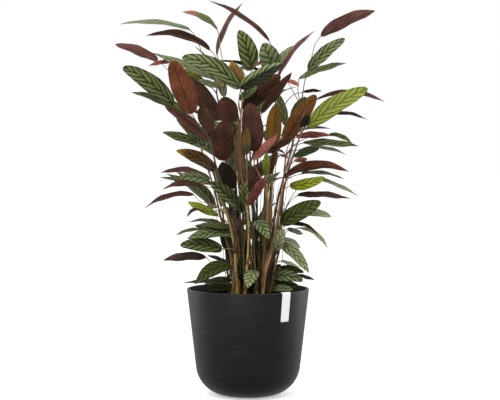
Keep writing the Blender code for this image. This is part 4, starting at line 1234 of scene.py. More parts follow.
def leaf_face(settings):
    """Live leaf, waxy upper face: dark bands sweep from a sunk midrib, with fine veins and a soft gloss."""
    material, tree, shader = surface(
        "Waxy leaf face", Roughness=settings.face_roughness, Specular_IOR_Level=0.16)
    q, out, place = vein_places(tree)
    near = add(tree, "Math", [q, 0.5], operation="PINGPONG")
    # A band is broad at the midrib and the margin, slim between, and broader in some patches than in others
    breadth = add(tree, "ValToRGB", [out], stops=(
        (0.0, 0.60), (0.08, 0.38), (0.25, 0.24), (0.50, 0.18), (0.74, 0.25), (0.90, 0.34), (1.0, 0.42)))
    breadth = add(tree, "Math", [breadth, 0.14], operation="SUBTRACT")
    patch = add(tree, "TexNoise", {"Vector": place, "Scale": 1 / 0.045, "Detail": 1.0})
    breadth = add(tree, "Math", [patch, 0.16, breadth], operation="MULTIPLY_ADD")
    # The bands' colour carries their breadth as its alpha
    mark = add(tree, "VertexColor", layer_name="Mark")
    share = add(tree, "VertexColor", layer_name="Mark", out="Alpha")
    breadth = add(tree, "Math", [breadth, share], operation="MULTIPLY")
    beyond = add(tree, "Math", [near, breadth], operation="SUBTRACT")
    band = add(tree, "MapRange", [beyond, -0.11, 0.19, 1.0, 0.0], interpolation_type="SMOOTHSTEP")
    # The pale part is palest along its middle
    ground = add(tree, "VertexColor", layer_name="Tint")
    glow = add(tree, "ValToRGB", [near], stops=((0.15, 0.84), (0.50, 1.10)))
    ground = add(tree, "Mix", {SHARE: 1.0, UNDER: ground, OVER: glow}, MIXED, **MULTIPLY)
    colour = add(tree, "Mix", {SHARE: band, UNDER: ground, OVER: mark}, MIXED, data_type="RGBA")
    # Side veins, five to a band, drawn as coarse as they need to show
    fine = add(tree, "Math", [q, 5.0], operation="MULTIPLY")
    fine = add(tree, "Math", [fine, 0.5], operation="PINGPONG")
    veined = add(tree, "ValToRGB", [fine], stops=((0.0, 0.82), (0.18, 1.0), (0.5, 1.05)))
    groove = add(tree, "ValToRGB", [out], stops=((0.0, 0.66), (0.04, 1.0), (0.94, 1.0), (1.0, 0.82)))
    mottle = add(tree, "TexNoise", {"Vector": place, "Scale": 1 / 0.006, "Detail": 4.0})
    mottle = add(tree, "ValToRGB", [mottle], stops=((0.25, 0.84), (0.75, 1.12)))
    for strength, layer in ((0.6, veined), (1.0, groove), (1.0, mottle)):
        colour = add(tree, "Mix", {SHARE: strength, UNDER: colour, OVER: layer}, MIXED, **MULTIPLY)
    tree.links.new(colour, shader.inputs["Base Color"])
    # Quilting between the side veins, and the groove of the midrib
    sunk = add(tree, "ValToRGB", [out], stops=((0.0, 0.0), (0.06, 1.0)))
    relief = add(tree, "Math", [near, 2.2, fine], operation="MULTIPLY_ADD")
    relief = add(tree, "Math", [sunk, 1.6, relief], operation="MULTIPLY_ADD")
    soft = undulation(tree, place)
    bump = add(tree, "Bump", {"Strength": 0.6, "Distance": 0.0007, "Height": relief, "Normal": soft})
    tree.links.new(bump, shader.inputs["Normal"])
    return material


def leaf_under(settings, name):
    """Live leaf, matt underside: wine to coral red, with raised side veins that catch the light."""
    material, tree, shader = surface(name, Roughness=settings.under_roughness, Specular_IOR_Level=0.12)
    q, out, place = vein_places(tree)
    near = add(tree, "Math", [q, 0.5], operation="PINGPONG")
    fine = add(tree, "Math", [q, 3.0], operation="MULTIPLY")
    fine = add(tree, "Math", [fine, 0.5], operation="PINGPONG")
    # The upper face's bands hardly show through
    bands = add(tree, "ValToRGB", [near], stops=((0.0, 0.82), (0.12, 0.94), (0.35, 1.05)))
    veined = add(tree, "ValToRGB", [fine], stops=((0.0, 1.26), (0.18, 1.0), (0.5, 0.90)))
    cloud = add(tree, "TexNoise", {"Vector": place, "Scale": 1 / 0.030, "Detail": 2.0})
    cloud = add(tree, "ValToRGB", [cloud], stops=((0.25, 0.72), (0.75, 1.28)))
    groove = add(tree, "ValToRGB", [out], stops=((0.0, 0.66), (0.10, 1.0)))
    colour = add(tree, "VertexColor", layer_name="Tint")
    for layer in (bands, veined, cloud, groove):
        colour = add(tree, "Mix", {SHARE: 1.0, UNDER: colour, OVER: layer}, MIXED, **MULTIPLY)
    # Green turns round the margin
    edge = add(tree, "ValToRGB", [out], stops=((0.88, 0.0), (1.0, 0.5)))
    green = linear("#5a5228")
    colour = add(tree, "Mix", {SHARE: edge, UNDER: colour, OVER: green}, MIXED, data_type="RGBA")
    tree.links.new(colour, shader.inputs["Base Color"])
    relief = add(tree, "Math", [1.0, fine], operation="SUBTRACT")
    relief = add(tree, "Math", [near, -2.4, relief], operation="MULTIPLY_ADD")
    soft = undulation(tree, place)
    bump = add(tree, "Bump", {"Strength": 0.9, "Distance": 0.0009, "Height": relief, "Normal": soft})
    tree.links.new(bump, shader.inputs["Normal"])
    return material


def cane_skin(settings):
    """Live cane, smooth woody skin: long streaks and a ring at each joint."""
    material, tree, shader = surface("Jointed cane skin", Roughness=0.46)
    map_uv = add(tree, "UVMap", uv_map="Veins")
    # Streaks some 45 mm long, seven to a turn round the cane
    streaks = add(tree, "VectorMath", [map_uv, (1 / 0.045, 7.0, 1.0)], operation="MULTIPLY")
    streak = add(tree, "TexNoise", {"Vector": streaks, "Scale": 1.0, "Detail": 3.0})
    streaked = add(tree, "ValToRGB", [streak], stops=((0.32, 0.42), (0.66, 1.35)))
    joints = add(tree, "SeparateXYZ", [map_uv], "X")
    joints = add(tree, "Math", [joints, 1 / settings.joint_spacing], operation="MULTIPLY")
    joints = add(tree, "Math", [joints, 0.5], operation="PINGPONG")
    ring = add(tree, "ValToRGB", [joints], stops=((0.0, 0.50), (0.03, 0.70), (0.07, 1.15), (0.18, 1.0)))
    colour = add(tree, "VertexColor", layer_name="Tint")
    for strength, layer in ((1.0, streaked), (0.9, ring)):
        colour = add(tree, "Mix", {SHARE: strength, UNDER: colour, OVER: layer}, MIXED, **MULTIPLY)
    tree.links.new(colour, shader.inputs["Base Color"])
    bump = add(tree, "Bump", {"Strength": 0.4, "Distance": 0.0005, "Height": streak})
    tree.links.new(bump, shader.inputs["Normal"])
    return material


def moulded_tub(settings, name, gloss):
    """Recycled plastic, matt injection moulding: near black, with a fine grain and faint drawn streaks."""
    material, tree, shader = surface(name, IOR=1.49, Specular_IOR_Level=gloss)
    place = add(tree, "TexCoord", out="Object")
    # Faint streaks some 9 mm tall and 70 mm long run round the wall
    flat = add(tree, "VectorMath", [place, (1 / 0.07, 1 / 0.07, 1 / 0.009)], operation="MULTIPLY")
    streak = add(tree, "TexNoise", {"Vector": flat, "Scale": 1.0, "Detail": 4.0})
    streak = add(tree, "ValToRGB", [streak], stops=((0.30, 0.81), (0.70, 1.23)))
    # The regrind's colour drifts in soft patches of some 40 mm, and is specked every 4 mm
    drift = add(tree, "TexNoise", {"Vector": place, "Scale": 1 / 0.04, "Detail": 2.0})
    drift = add(tree, "ValToRGB", [drift], stops=((0.30, 0.90), (0.70, 1.12)))
    speck = add(tree, "TexNoise", {"Vector": place, "Scale": 1 / 0.004, "Detail": 3.0})
    speck = add(tree, "ValToRGB", [speck], stops=((0.30, 0.90), (0.70, 1.10)))
    # Painted light: the lip carries a painted highlight, and painted shade darkens the inside
    painted_light = add(tree, "VertexColor", layer_name="Tint")
    colour = tuple(settings.colour)
    for layer in (streak, drift, speck, painted_light):
        colour = add(tree, "Mix", {SHARE: 1.0, UNDER: colour, OVER: layer}, MIXED, **MULTIPLY)
    tree.links.new(colour, shader.inputs["Base Color"])
    sheen = add(tree, "Math", [streak, 0.16, settings.roughness - 0.16], operation="MULTIPLY_ADD")
    tree.links.new(sheen, shader.inputs["Roughness"])
    grain = add(tree, "TexNoise", {"Vector": place, "Scale": 1 / settings.grain, "Detail": 2.0})
    bump = add(tree, "Bump", {"Strength": 0.3, "Distance": 0.0002, "Height": grain})
    tree.links.new(bump, shader.inputs["Normal"])
    return material


def damp_soil():
    """Peat and bark potting soil, loose and damp: dark crumbs of several browns."""
    material, tree, shader = surface("Damp potting soil", Roughness=0.9, Specular_IOR_Level=0.3)
    place = add(tree, "TexCoord", out="Object")
    # Crumbs some 4 mm across, each lighter or darker than the next
    crumb = add(tree, "TexVoronoi", {"Vector": place, "Scale": 1 / 0.004}, "Color")
    crumb = add(tree, "ValToRGB", [crumb], stops=((0.1, 0.45), (0.9, 1.5)))
    colour = add(tree, "VertexColor", layer_name="Tint")
    colour = add(tree, "Mix", {SHARE: 1.0, UNDER: colour, OVER: crumb}, MIXED, **MULTIPLY)
    tree.links.new(colour, shader.inputs["Base Color"])
    rough = add(tree, "TexNoise", {"Vector": place, "Scale": 1 / 0.003, "Detail": 4.0})
    bump = add(tree, "Bump", {"Strength": 0.9, "Distance": 0.0015, "Height": rough})
    tree.links.new(bump, shader.inputs["Normal"])
    return material


def woven_tape(settings):
    """Undyed polyester tape, woven: white, with a fine rib and a firmer selvedge down both sides."""
    # A little painted glow makes the white tape brighter than the lamps light it
    white = (1, 1, 1, 1)
    material, tree, shader = surface(
        "Woven white tape", Roughness=0.8, Emission_Color=white, Emission_Strength=0.24)
    map_uv = add(tree, "UVMap", uv_map="Veins")
    out = add(tree, "SeparateXYZ", [map_uv], "Y")
    rib = add(tree, "SeparateXYZ", [map_uv], "X")
    rib = add(tree, "Math", [rib, 1 / settings.thread], operation="MULTIPLY")
    rib = add(tree, "Math", [rib, 0.5], operation="PINGPONG")
    warp = add(tree, "Math", [out, TAG_WIDTH / settings.thread / 2], operation="MULTIPLY")
    warp = add(tree, "Math", [warp, 0.5], operation="PINGPONG")
    weave = add(tree, "Math", [rib, warp], operation="ADD")
    threads = add(tree, "ValToRGB", [weave], stops=((0.0, 0.93), (1.0, 1.0)))
    selvedge = add(tree, "ValToRGB", [out], stops=((0.78, 1.0), (0.84, 0.90), (0.89, 1.0)))
    colour = tuple(settings.colour)
    for layer in (threads, selvedge):
        colour = add(tree, "Mix", {SHARE: 1.0, UNDER: colour, OVER: layer}, MIXED, **MULTIPLY)
    tree.links.new(colour, shader.inputs["Base Color"])
    bump = add(tree, "Bump", {"Strength": 0.5, "Distance": 0.0003, "Height": weave})
    tree.links.new(bump, shader.inputs["Normal"])
    return material


def sheet_of(bm, steps, columns):
    """A flat grid and each of its corners' place along and across it, both from 0 to 1."""
    made = bmesh.ops.create_grid(bm, x_segments=steps, y_segments=columns, size=0.5)
    places = {}
    for vert in made["verts"]:
        along_it = round((vert.co.x + 0.5) * steps) / steps
        places[vert] = (along_it, round((vert.co.y + 0.5) * columns) / columns)
    return places


def write_corners(sheet, layers, slot, corner):
    """Gives each face of a sheet its slot, and each corner its place for the markings and its two colours."""
    faces = list(dict.fromkeys(face for vert in sheet for face in vert.link_faces))
    for face in faces:
        face.material_index = slot
        face.smooth = True
        for loop in face.loops:
            place, tint, mark = corner(*sheet[loop.vert])
            loop[layers[0]].uv = place
            loop[layers[1]] = tint
            loop[layers[2]] = mark
    return faces


def distances(path):
    """How far along a path each of its points lies."""
    travelled = [0.0]
    for a, b in zip(path, path[1:]):
        travelled.append(travelled[-1] + (b - a).length)
    return travelled


def frames(path):
    """Two directions across a path at each of its points, turned as little as can be."""
    across = SIDEWAYS
    made = []
    for i in range(len(path)):
        ahead = way_on(path, i).normalized()
        across = (across - ahead * ahead.dot(across)).normalized()
        made.append((across, ahead.cross(across)))
    return made


def outward(ways, turn):
    """The direction across a path at a turn about it, from the two across it."""
    return ways[0] * math.cos(turn) + ways[1] * math.sin(turn)


def add_tube(bm, layers, path, radii, ring, slot, tints):
    """A round tube along a path: a grid rolled up, its seam merged and its ends closed."""
    steps = len(path) - 1
    sheet = sheet_of(bm, steps, ring)
    ways = frames(path)
    travelled = distances(path)

    def corner(u, v):
        tint = tints[round(u * steps)]
        return (travelled[round(u * steps)], v), tint, tint

    write_corners(sheet, layers, slot, corner)
    for vert, (u, v) in sheet.items():
        i = round(u * steps)
        vert.co = path[i] + outward(ways[i], 2 * math.pi * v) * radii[i]
    bmesh.ops.remove_doubles(bm, verts=list(sheet), dist=1e-6)


def fine_blade(blade, sizes):
    """The functions of a blade's half width and of its points; one seen edge on is slimmer and calmer."""
    facing = abs(blade.normal.dot((VIEW - blade.base).normalized()))
    slim = clamp((0.95 - facing) / 0.35)
    calm = (0.10 + 0.90 * facing) * min((blade.tip - blade.base).length / 0.15, 1.0)

    def half(t):
        round_off = BLADE_POWER + 0.5 * slim * t * t
        return (0.5 - 0.08 * slim) * blade.width * max(math.sin(math.pi * t ** BLADE_SKEW), 0.0) ** round_off

    def point(t, side):
        turn = RIPPLE_TURNS * math.pi * t + 2 * blade.phase + (1.9 if side > 0 else 0.0)
        wave = blade_wave(blade, t, side, calm) + sizes.ripple * calm * side * side * math.sin(turn)
        return blade_place(blade, t, side, half(t), wave)

    return half, point


def add_blade(bm, layers, blade, look, sizes, draw):
    """A waved blade of even thickness, its upper face banded and its underside plain."""
    length = (blade.tip - blade.base).length
    pitch = sizes.band_spacing * math.sqrt(length / LONG_BLADE)
    paint = FACES[look if look in FACES else draw.choice(("moss", "fern"))]
    ground, mark, tip = linear(paint.ground), linear(paint.mark), linear(paint.tip or paint.mark)
    under = linear(UNDERS[look if look in UNDERS else draw.choice(("wine", "wine", "plum"))][0])
    shade = draw.uniform(0.90, 1.10)
    warmth = draw.uniform(0.94, 1.06)
    half, point = fine_blade(blade, sizes)
    sheet = sheet_of(bm, BLADE_STEPS, BLADE_COLUMNS)
    place = {}
    for vert, (u, v) in sheet.items():
        # The steps are closer towards the base and the tip
        t = 0.45 * u + 0.55 * (0.5 - 0.5 * math.cos(math.pi * u))
        place[vert] = (t, 2 * v - 1)
        vert.co = point(t, 2 * v - 1) + blade.normal * (BLADE_THICKNESS / 2)

    def tinted(colour, light):
        return colour[0] * light * warmth, colour[1] * light, colour[2] * light / warmth, 1.0

    def run(out):
        return sizes.band_sweep * (1.5 * out + out * out)

    def corner(t, side):
        # Painted light: the blade is painted darker towards its base and lighter towards its tip, and painted
        # shade darkens it from just short of the midrib to one margin by the look's shadow share
        out = abs(side) * half(t) / blade.width
        q = (t - run(out)) * length / pitch + (HALVES_OFFSET if side > 0 else 0.0)
        light = shade * (0.74 + 0.44 * t) * (1 - paint.shadow * clamp(2.5 * side + 1.5))
        ends = max(0.0, 1 - t / 0.07) + max(0.0, 1 - (1 - t) / 0.07)
        pale = blend(ground, mark, min(0.8 * ends, 0.8))
        turned = clamp((t - paint.turns) / 0.15) if paint.tip else 0.0
        dark = tinted(blend(mark, tip, 0.9 * turned), light)
        return (q, abs(side)), tinted(blend(pale, tip, turned), light), (*dark[:3], paint.bands)

    upper = write_corners(place, layers, 0, corner)
    # The bands of the two halves leave the midrib at different places
    for face in upper:
        if sum(place[v][1] for v in face.verts) > 0:
            for loop in face.loops:
                if place[loop.vert][1] == 0:
                    loop[layers[0]].uv.x += HALVES_OFFSET
    ends = [vert for vert, (t, side) in place.items() if t in (0.0, 1.0)]
    bmesh.ops.remove_doubles(bm, verts=ends, dist=1e-6)
    upper = [face for face in upper if face.is_valid]
    before = set(bm.faces)
    bmesh.ops.solidify(bm, geom=upper, thickness=BLADE_THICKNESS)
    new = [face for face in bm.faces if face not in before]
    shell = set(new)
    for face in upper + new:
        face.normal_update()
        face.smooth = True
        rim = face in shell and any(f not in shell for e in face.edges for f in e.link_faces)
        face.material_index = 0 if rim or face.normal.dot(blade.normal) > 0 else 1
        if rim:
            for edge in face.edges:
                edge.smooth = edge.calc_length() < 1.5 * BLADE_THICKNESS
        # Undersides carry painted light too: darker towards the base, lighter towards the tip
        if face.material_index == 1:
            for loop in face.loops:
                q, out = loop[layers[0]].uv
                t = clamp(q * pitch / length + run(0.5 * out))
                loop[layers[1]] = tinted(under, shade * (0.54 + 0.84 * t))


def add_rib(bm, layers, blade, look, sizes):
    """The raised midrib along a blade's underside, which ends in a fine point."""
    tint = linear(UNDERS[look if look in UNDERS else "wine"][1])
    steps = 12
    sink = blade.normal * (BLADE_THICKNESS / 2)
    path = [blade_line(blade, 0.92 * k / steps) - sink for k in range(steps + 1)]
    radii = [sizes.rib_radius * (1 - 0.82 * k / steps) for k in range(steps)] + [0.00001]
    add_tube(bm, layers, path, radii, 5, 2, [tint] * (steps + 1))


def add_stalk(bm, layers, path, bark):
    """A leaf stalk: a sheath where it leaves the cane, a slender middle and a swollen joint at the blade."""
    fine = even_path(smooth_path(path, 5), 16)
    length = distances(fine)[-1]
    radii, tints = [], []
    pale = linear("#574630")
    for k in range(len(fine)):
        t = k / (len(fine) - 1)
        radius = STALK_FOOT_RADIUS + (STALK_TIP_RADIUS - STALK_FOOT_RADIUS) * t
        # The sheath takes the lowest three tenths, and the joint the last 8 mm
        radius += 0.0010 * max(0.0, 1 - t / 0.3)
        radius += 0.0005 * math.exp(-((1 - t) * length / 0.008) ** 2)
        radii.append(radius)
        tints.append(blend(linear(BARKS[bark][1]), pale, 0.6 * t))
    add_tube(bm, layers, fine, radii, STALK_RING, 3, tints)


def shaded(path, colour, t, glow=0.0):
    """A cane's colour: those behind and their feet stand in the leaves' gloom, unless light falls in."""
    front = clamp((-0.045 - path[1].y) / 0.05)
    light = (0.09 + 1.06 * front) * (1 - t) + (0.62 + 0.38 * front) * t ** (1.6 - 0.6 * front)
    light += glow * clamp((t - 0.24) / 0.18)
    return colour[0] * light, colour[1] * light, colour[2] * light, 1.0


def add_cane(bm, layers, path, bark, sizes):
    """A cane: thickest at the soil, ringed at its joints and drawn in at the top."""
    fine = [path[0]] + even_path(smooth_path(path[1:], 8), 44)
    foot, top = (linear(code) for code in BARKS[bark])
    travelled = distances(fine)
    radii, tints = [], []
    for k, s in enumerate(travelled):
        t = max(0.0, (k - 1) / (len(fine) - 2))
        radius = CANE_FOOT_RADIUS + (CANE_TOP_RADIUS - CANE_FOOT_RADIUS) * t
        # A joint is a fifth thicker within some 3.5 mm, and the top closes over its last 8 mm
        near = abs((s / sizes.joint_spacing + 0.5) % 1.0 - 0.5) * sizes.joint_spacing
        radius *= 1 + 0.20 * math.exp(-(near / 0.0035) ** 2)
        left = travelled[-1] - s
        radius *= min(1.0, 0.25 + left / 0.008)
        radii.append(radius)
        tints.append(shaded(path, blend(foot, top, t), t, GLOW.get(bark, 0.0)))
    radii[-1] = POINT_RADIUS
    add_tube(bm, layers, fine, radii, CANE_RING, 3, tints)
    return fine, radii


def add_runners(bm, layers, fine, bark, draw):
    """Slender leaf stalks that rise from the soil against a cane and part from it higher up."""
    ways = frames(fine)
    foot, top = (linear(code) for code in BARKS[bark])
    for k in range(3):
        first = draw.uniform(0, 2 * math.pi)
        last = int((0.72 + 0.22 * draw.random()) * len(fine))
        far = draw.uniform(0.0060, 0.0150)
        path, radii, tints = [], [], []
        skin = linear(draw.choice(RUNNER_SKINS))
        # Runners of a shadowed cane take part of its painted shade at the foot
        skin = blend(foot, skin, 0.3) if bark == "shadowed" else skin
        for i in range(0, last, 2):
            t = i / last
            turn = first + 1.6 * t * (1 if k else -1)
            parted = far * max(math.sin(math.pi * t ** 1.6), 0.0) ** 1.1
            away = CANE_FOOT_RADIUS * 0.9 * (1 - 0.5 * t) + parted
            path.append(fine[i] + outward(ways[i], turn) * away)
            radii.append(0.0012 - 0.0005 * t)
            tints.append(shaded(fine, blend(skin, top, 0.4 * t), t, GLOW.get(bark, 0.0)))
        radii[-1] = POINT_RADIUS
        add_tube(bm, layers, path, radii, STALK_RING, 3, tints)


def add_sheath(bm, layers, fine, radii, start, steps, turn, draw):
    """A dry brown sheath that clasps a cane at a joint and opens to a point above it."""
    ways = frames(fine)
    sheet = sheet_of(bm, steps, 8)
    tint = linear(draw.choice(SHEATH_SKINS))
    dark = blend(tint, linear("#20140c"), 0.6)

    def corner(u, v):
        colour = shaded(fine, blend(dark, tint, u), start / len(fine))
        return (0.11 * u, v), colour, colour

    made = write_corners(sheet, layers, 3, corner)
    for vert, (u, v) in sheet.items():
        i = start + round(u * steps)
        # It reaches 140 degrees each way round the cane below, and almost closes at its tip
        spread = math.radians(140) * (1 - u) ** 0.6 + 0.03
        radius = radii[i] + 0.0002 + 0.0016 * u * u
        vert.co = fine[i] + outward(ways[i], turn + (2 * v - 1) * spread) * radius
    bmesh.ops.solidify(bm, geom=made, thickness=0.0004)


def new_piece(name, bm, materials, node):
    """A finished piece from a bmesh: it rides on the part and stands for a node of it."""
    mesh = bpy.data.meshes.new(name)
    bm.to_mesh(mesh)
    bm.free()
    for material in materials:
        mesh.materials.append(material)
    piece = bpy.data.objects.new(name, mesh)
    bpy.context.scene.collection.objects.link(piece)
    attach(piece, "root")
    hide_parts(node)
    return piece


def start_mesh():
    """An empty bmesh with the markings' map and two colours on each corner."""
    bm = bmesh.new()
    colours = bm.loops.layers.float_color
    return bm, (bm.loops.layers.uv.new("Veins"), colours.new("Tint"), colours.new("Mark"))


class CALATHEA_OT_stems(bpy.types.Operator):
    """Builds every leafy stem: its cane, stalks, blades and ribs"""

    bl_idname = "calathea.stems"
    bl_label = "Leafy stems"

    def execute(self, context):
        sizes = context.scene.calathea_leaves
        materials = [
            leaf_face(sizes),
            leaf_under(sizes, "Matt leaf underside"),
            leaf_under(sizes, "Raised leaf rib"),
            cane_skin(sizes),
        ]
        draw = random.Random(SHADE_SEED)
        for name, bark, path, leaves in plan_stems():
            bm, layers = start_mesh()
            fine, radii = add_cane(bm, layers, path, bark, sizes)
            add_runners(bm, layers, fine, bark, draw)
            if name in CROWDED:
                add_runners(bm, layers, fine[len(fine) // 3:], bark, random.Random(CROWD_SEED))
            for k in range(6, len(fine) - 14, 13):
                add_sheath(bm, layers, fine, radii, k, draw.randint(3, 6), draw.uniform(0, 6.28), draw)
            for stalk, blade, look in leaves:
                add_stalk(bm, layers, stalk, bark)
                add_blade(bm, layers, blade, look, sizes, draw)
                add_rib(bm, layers, blade, look, sizes)
            new_piece(name.replace("stem", "leafy_stem"), bm, materials, name)
        return {"FINISHED"}


class CALATHEA_OT_pot(bpy.types.Operator):
    """Builds the round tub with its rolled rim"""

    bl_idname = "calathea.pot"
    bl_label = "Tub"

    def execute(self, context):
        bm, layers = start_mesh()
        verts = [bm.verts.new((r, 0.0, z)) for r, z in pot_profile(0.0, 24)]
        edges = [bm.edges.new(pair) for pair in zip(verts, verts[1:])]
        bmesh.ops.spin(
            bm, geom=verts + edges, cent=(0, 0, 0), axis=(0, 0, 1),
            angle=2 * math.pi, steps=144, use_merge=True)
        bmesh.ops.remove_doubles(bm, verts=bm.verts, dist=1e-5)
        bmesh.ops.recalc_face_normals(bm, faces=bm.faces)
        outside, damp, painted_highlight_lip = range(3)
        for face in bm.faces:
            face.smooth = True
            middle = face.calc_center_median()
            slot, level = outside, 1.0
            # The inside of the wall is painted a quarter as bright: painted shade, which the damp slot
            # carries
            if face.normal.dot(Vector((middle.x, middle.y, 0.0))) < 0 and middle.z > POT_FLOOR:
                slot, level = damp, 0.25
            # The lip is painted four times as bright: a painted highlight
            if middle.z > POT_HEIGHT - LIP_SHOWS:
                slot, level = painted_highlight_lip, 4.0
            face.material_index = slot
            for loop in face.loops:
                loop[layers[1]] = (level, level, level, 1.0)
        settings = context.scene.calathea_pot
        materials = [
            moulded_tub(settings, "Matt moulded tub", 0.25),
            moulded_tub(settings, "Painted shade inside of the tub", 0.06),
            moulded_tub(settings, "Rubbed lip of the tub", 1.0),
        ]
        new_piece("moulded_tub", bm, materials, "pot")
        return {"FINISHED"}


class CALATHEA_OT_soil(bpy.types.Operator):
    """Builds the crumbly top of the soil and its loose chips"""

    bl_idname = "calathea.soil"
    bl_label = "Soil"

    def execute(self, context):
        settings = context.scene.calathea_soil
        bm, layers = start_mesh()
        edge = inner_radius(SOIL_TOP) + 0.0008
        sheet = sheet_of(bm, SOIL_STEPS, SOIL_STEPS)
        tint = tuple(settings.colour)
        write_corners(sheet, layers, 0, lambda u, v: ((u, v), tint, tint))
        for vert, (u, v) in sheet.items():
            # A square sheet drawn out to a round one, lumpy at three sizes and a little crowned
            x, y = 2 * u - 1, 2 * v - 1
            flat = Vector((x * math.sqrt(1 - y * y / 2), y * math.sqrt(1 - x * x / 2), 0.0)) * edge
            lump = 0.0028 * noise.noise(flat * 55) + 0.0022 * noise.noise(flat * 190)
            lump += 0.0012 * noise.noise(flat * 420)
            crown = SOIL_CROWN * (1 - (flat.length / edge) ** 2)
            vert.co = flat + Vector((0, 0, SOIL_TOP + 0.0025 + lump + crown))
        bmesh.ops.solidify(bm, geom=list(bm.faces), thickness=0.02)
        draw = random.Random(SOIL_SEED)
        noise.seed_set(SOIL_SEED)
        browns = [linear(code) for code in SOIL_BROWNS]
        for k in range(settings.crumbs):
            turn = draw.uniform(0, 2 * math.pi)
            far = (edge - 0.008) * math.sqrt(draw.random())
            size = settings.crumb_size * draw.uniform(0.3, 1.0)
            crumb = bmesh.ops.create_icosphere(bm, subdivisions=1, radius=1.0)["verts"]
            broad = size * draw.uniform(0.35, 0.8)
            shape = Matrix.Diagonal((size, broad, size * draw.uniform(0.18, 0.5), 1.0))
            spin = Matrix.Rotation(draw.uniform(0, 6.28), 4, "Z")
            spin @= Matrix.Rotation(draw.uniform(-0.6, 0.6), 4, "X")
            spin @= Matrix.Rotation(draw.uniform(-0.6, 0.6), 4, "Y")
            spot = around(turn, far, SOIL_TOP + 0.0045 + SOIL_CROWN * (1 - (far / edge) ** 2))
            bmesh.ops.transform(bm, matrix=Matrix.Translation(spot) @ spin @ shape, verts=crumb)
            brown = draw.choice(browns)
            for vert in crumb:
                vert.co += noise.noise_vector(vert.co * 300) * size * 0.22
                for loop in vert.link_loops:
                    loop[layers[1]] = brown
        new_piece("soil_surface", bm, [damp_soil()], "soil")
        return {"FINISHED"}


class CALATHEA_OT_tag(bpy.types.Operator):
    """Builds the bare woven tag over the rim"""

    bl_idname = "calathea.tag"
    bl_label = "Bare tag"

    def execute(self, context):
        bm, layers = start_mesh()
        rim = POT_RIM_RADIUS
        gap = TAG_GAP + TAG_THICKNESS
        inside = rim - POT_WALL - gap
        # Its line as (radius, height): up the outside, round over the rim and down the inside
        line = []
        for k in range(20):
            up = k / 20
            drop = POT_TAPER * TAG_OUTSIDE * (1 - up)
            line.append((rim - drop + gap, POT_HEIGHT - TAG_OUTSIDE + (TAG_OUTSIDE - TAG_FOLD) * up))
        for k in range(11):
            turn = math.pi * k / 10
            radius = rim - 0.5 * POT_WALL + (0.5 * POT_WALL + gap) * math.cos(turn)
            line.append((radius, POT_HEIGHT - TAG_FOLD + (TAG_FOLD + gap) * math.sin(turn)))
        for k in range(1, 9):
            down = k / 8
            height = POT_HEIGHT - TAG_FOLD - (TAG_INSIDE - TAG_FOLD) * down
            line.append((inside - POT_TAPER * TAG_INSIDE * down, height))
        steps = len(line) - 1
        travelled = distances([Vector(place) for place in line])
        sheet = sheet_of(bm, steps, 12)
        white = tuple(context.scene.calathea_tag.colour)

        def corner(u, v):
            return (travelled[round(u * steps)], abs(2 * v - 1)), white, white

        write_corners(sheet, layers, 0, corner)
        for vert, (u, v) in sheet.items():
            i = round(u * steps)
            # Its corners are a little rounded
            ends = min(travelled[i], travelled[-1] - travelled[i])
            narrow = 1.0 - 0.05 * max(0.0, 1 - ends / 0.003) ** 2
            vert.co = around(TAG_TURN - math.pi / 2 + TAG_WIDTH / rim * (v - 0.5) * narrow, *line[i])
        bmesh.ops.recalc_face_normals(bm, faces=bm.faces)
        middles = [(face.normal, face.calc_center_median()) for face in bm.faces]
        if sum(normal.dot(Vector((middle.x, middle.y, 0))) for normal, middle in middles) < 0:
            bmesh.ops.reverse_faces(bm, faces=bm.faces)
        bmesh.ops.solidify(bm, geom=list(bm.faces), thickness=TAG_THICKNESS)
        new_piece("bare_tag", bm, [woven_tape(context.scene.calathea_tag)], "tag")
        return {"FINISHED"}


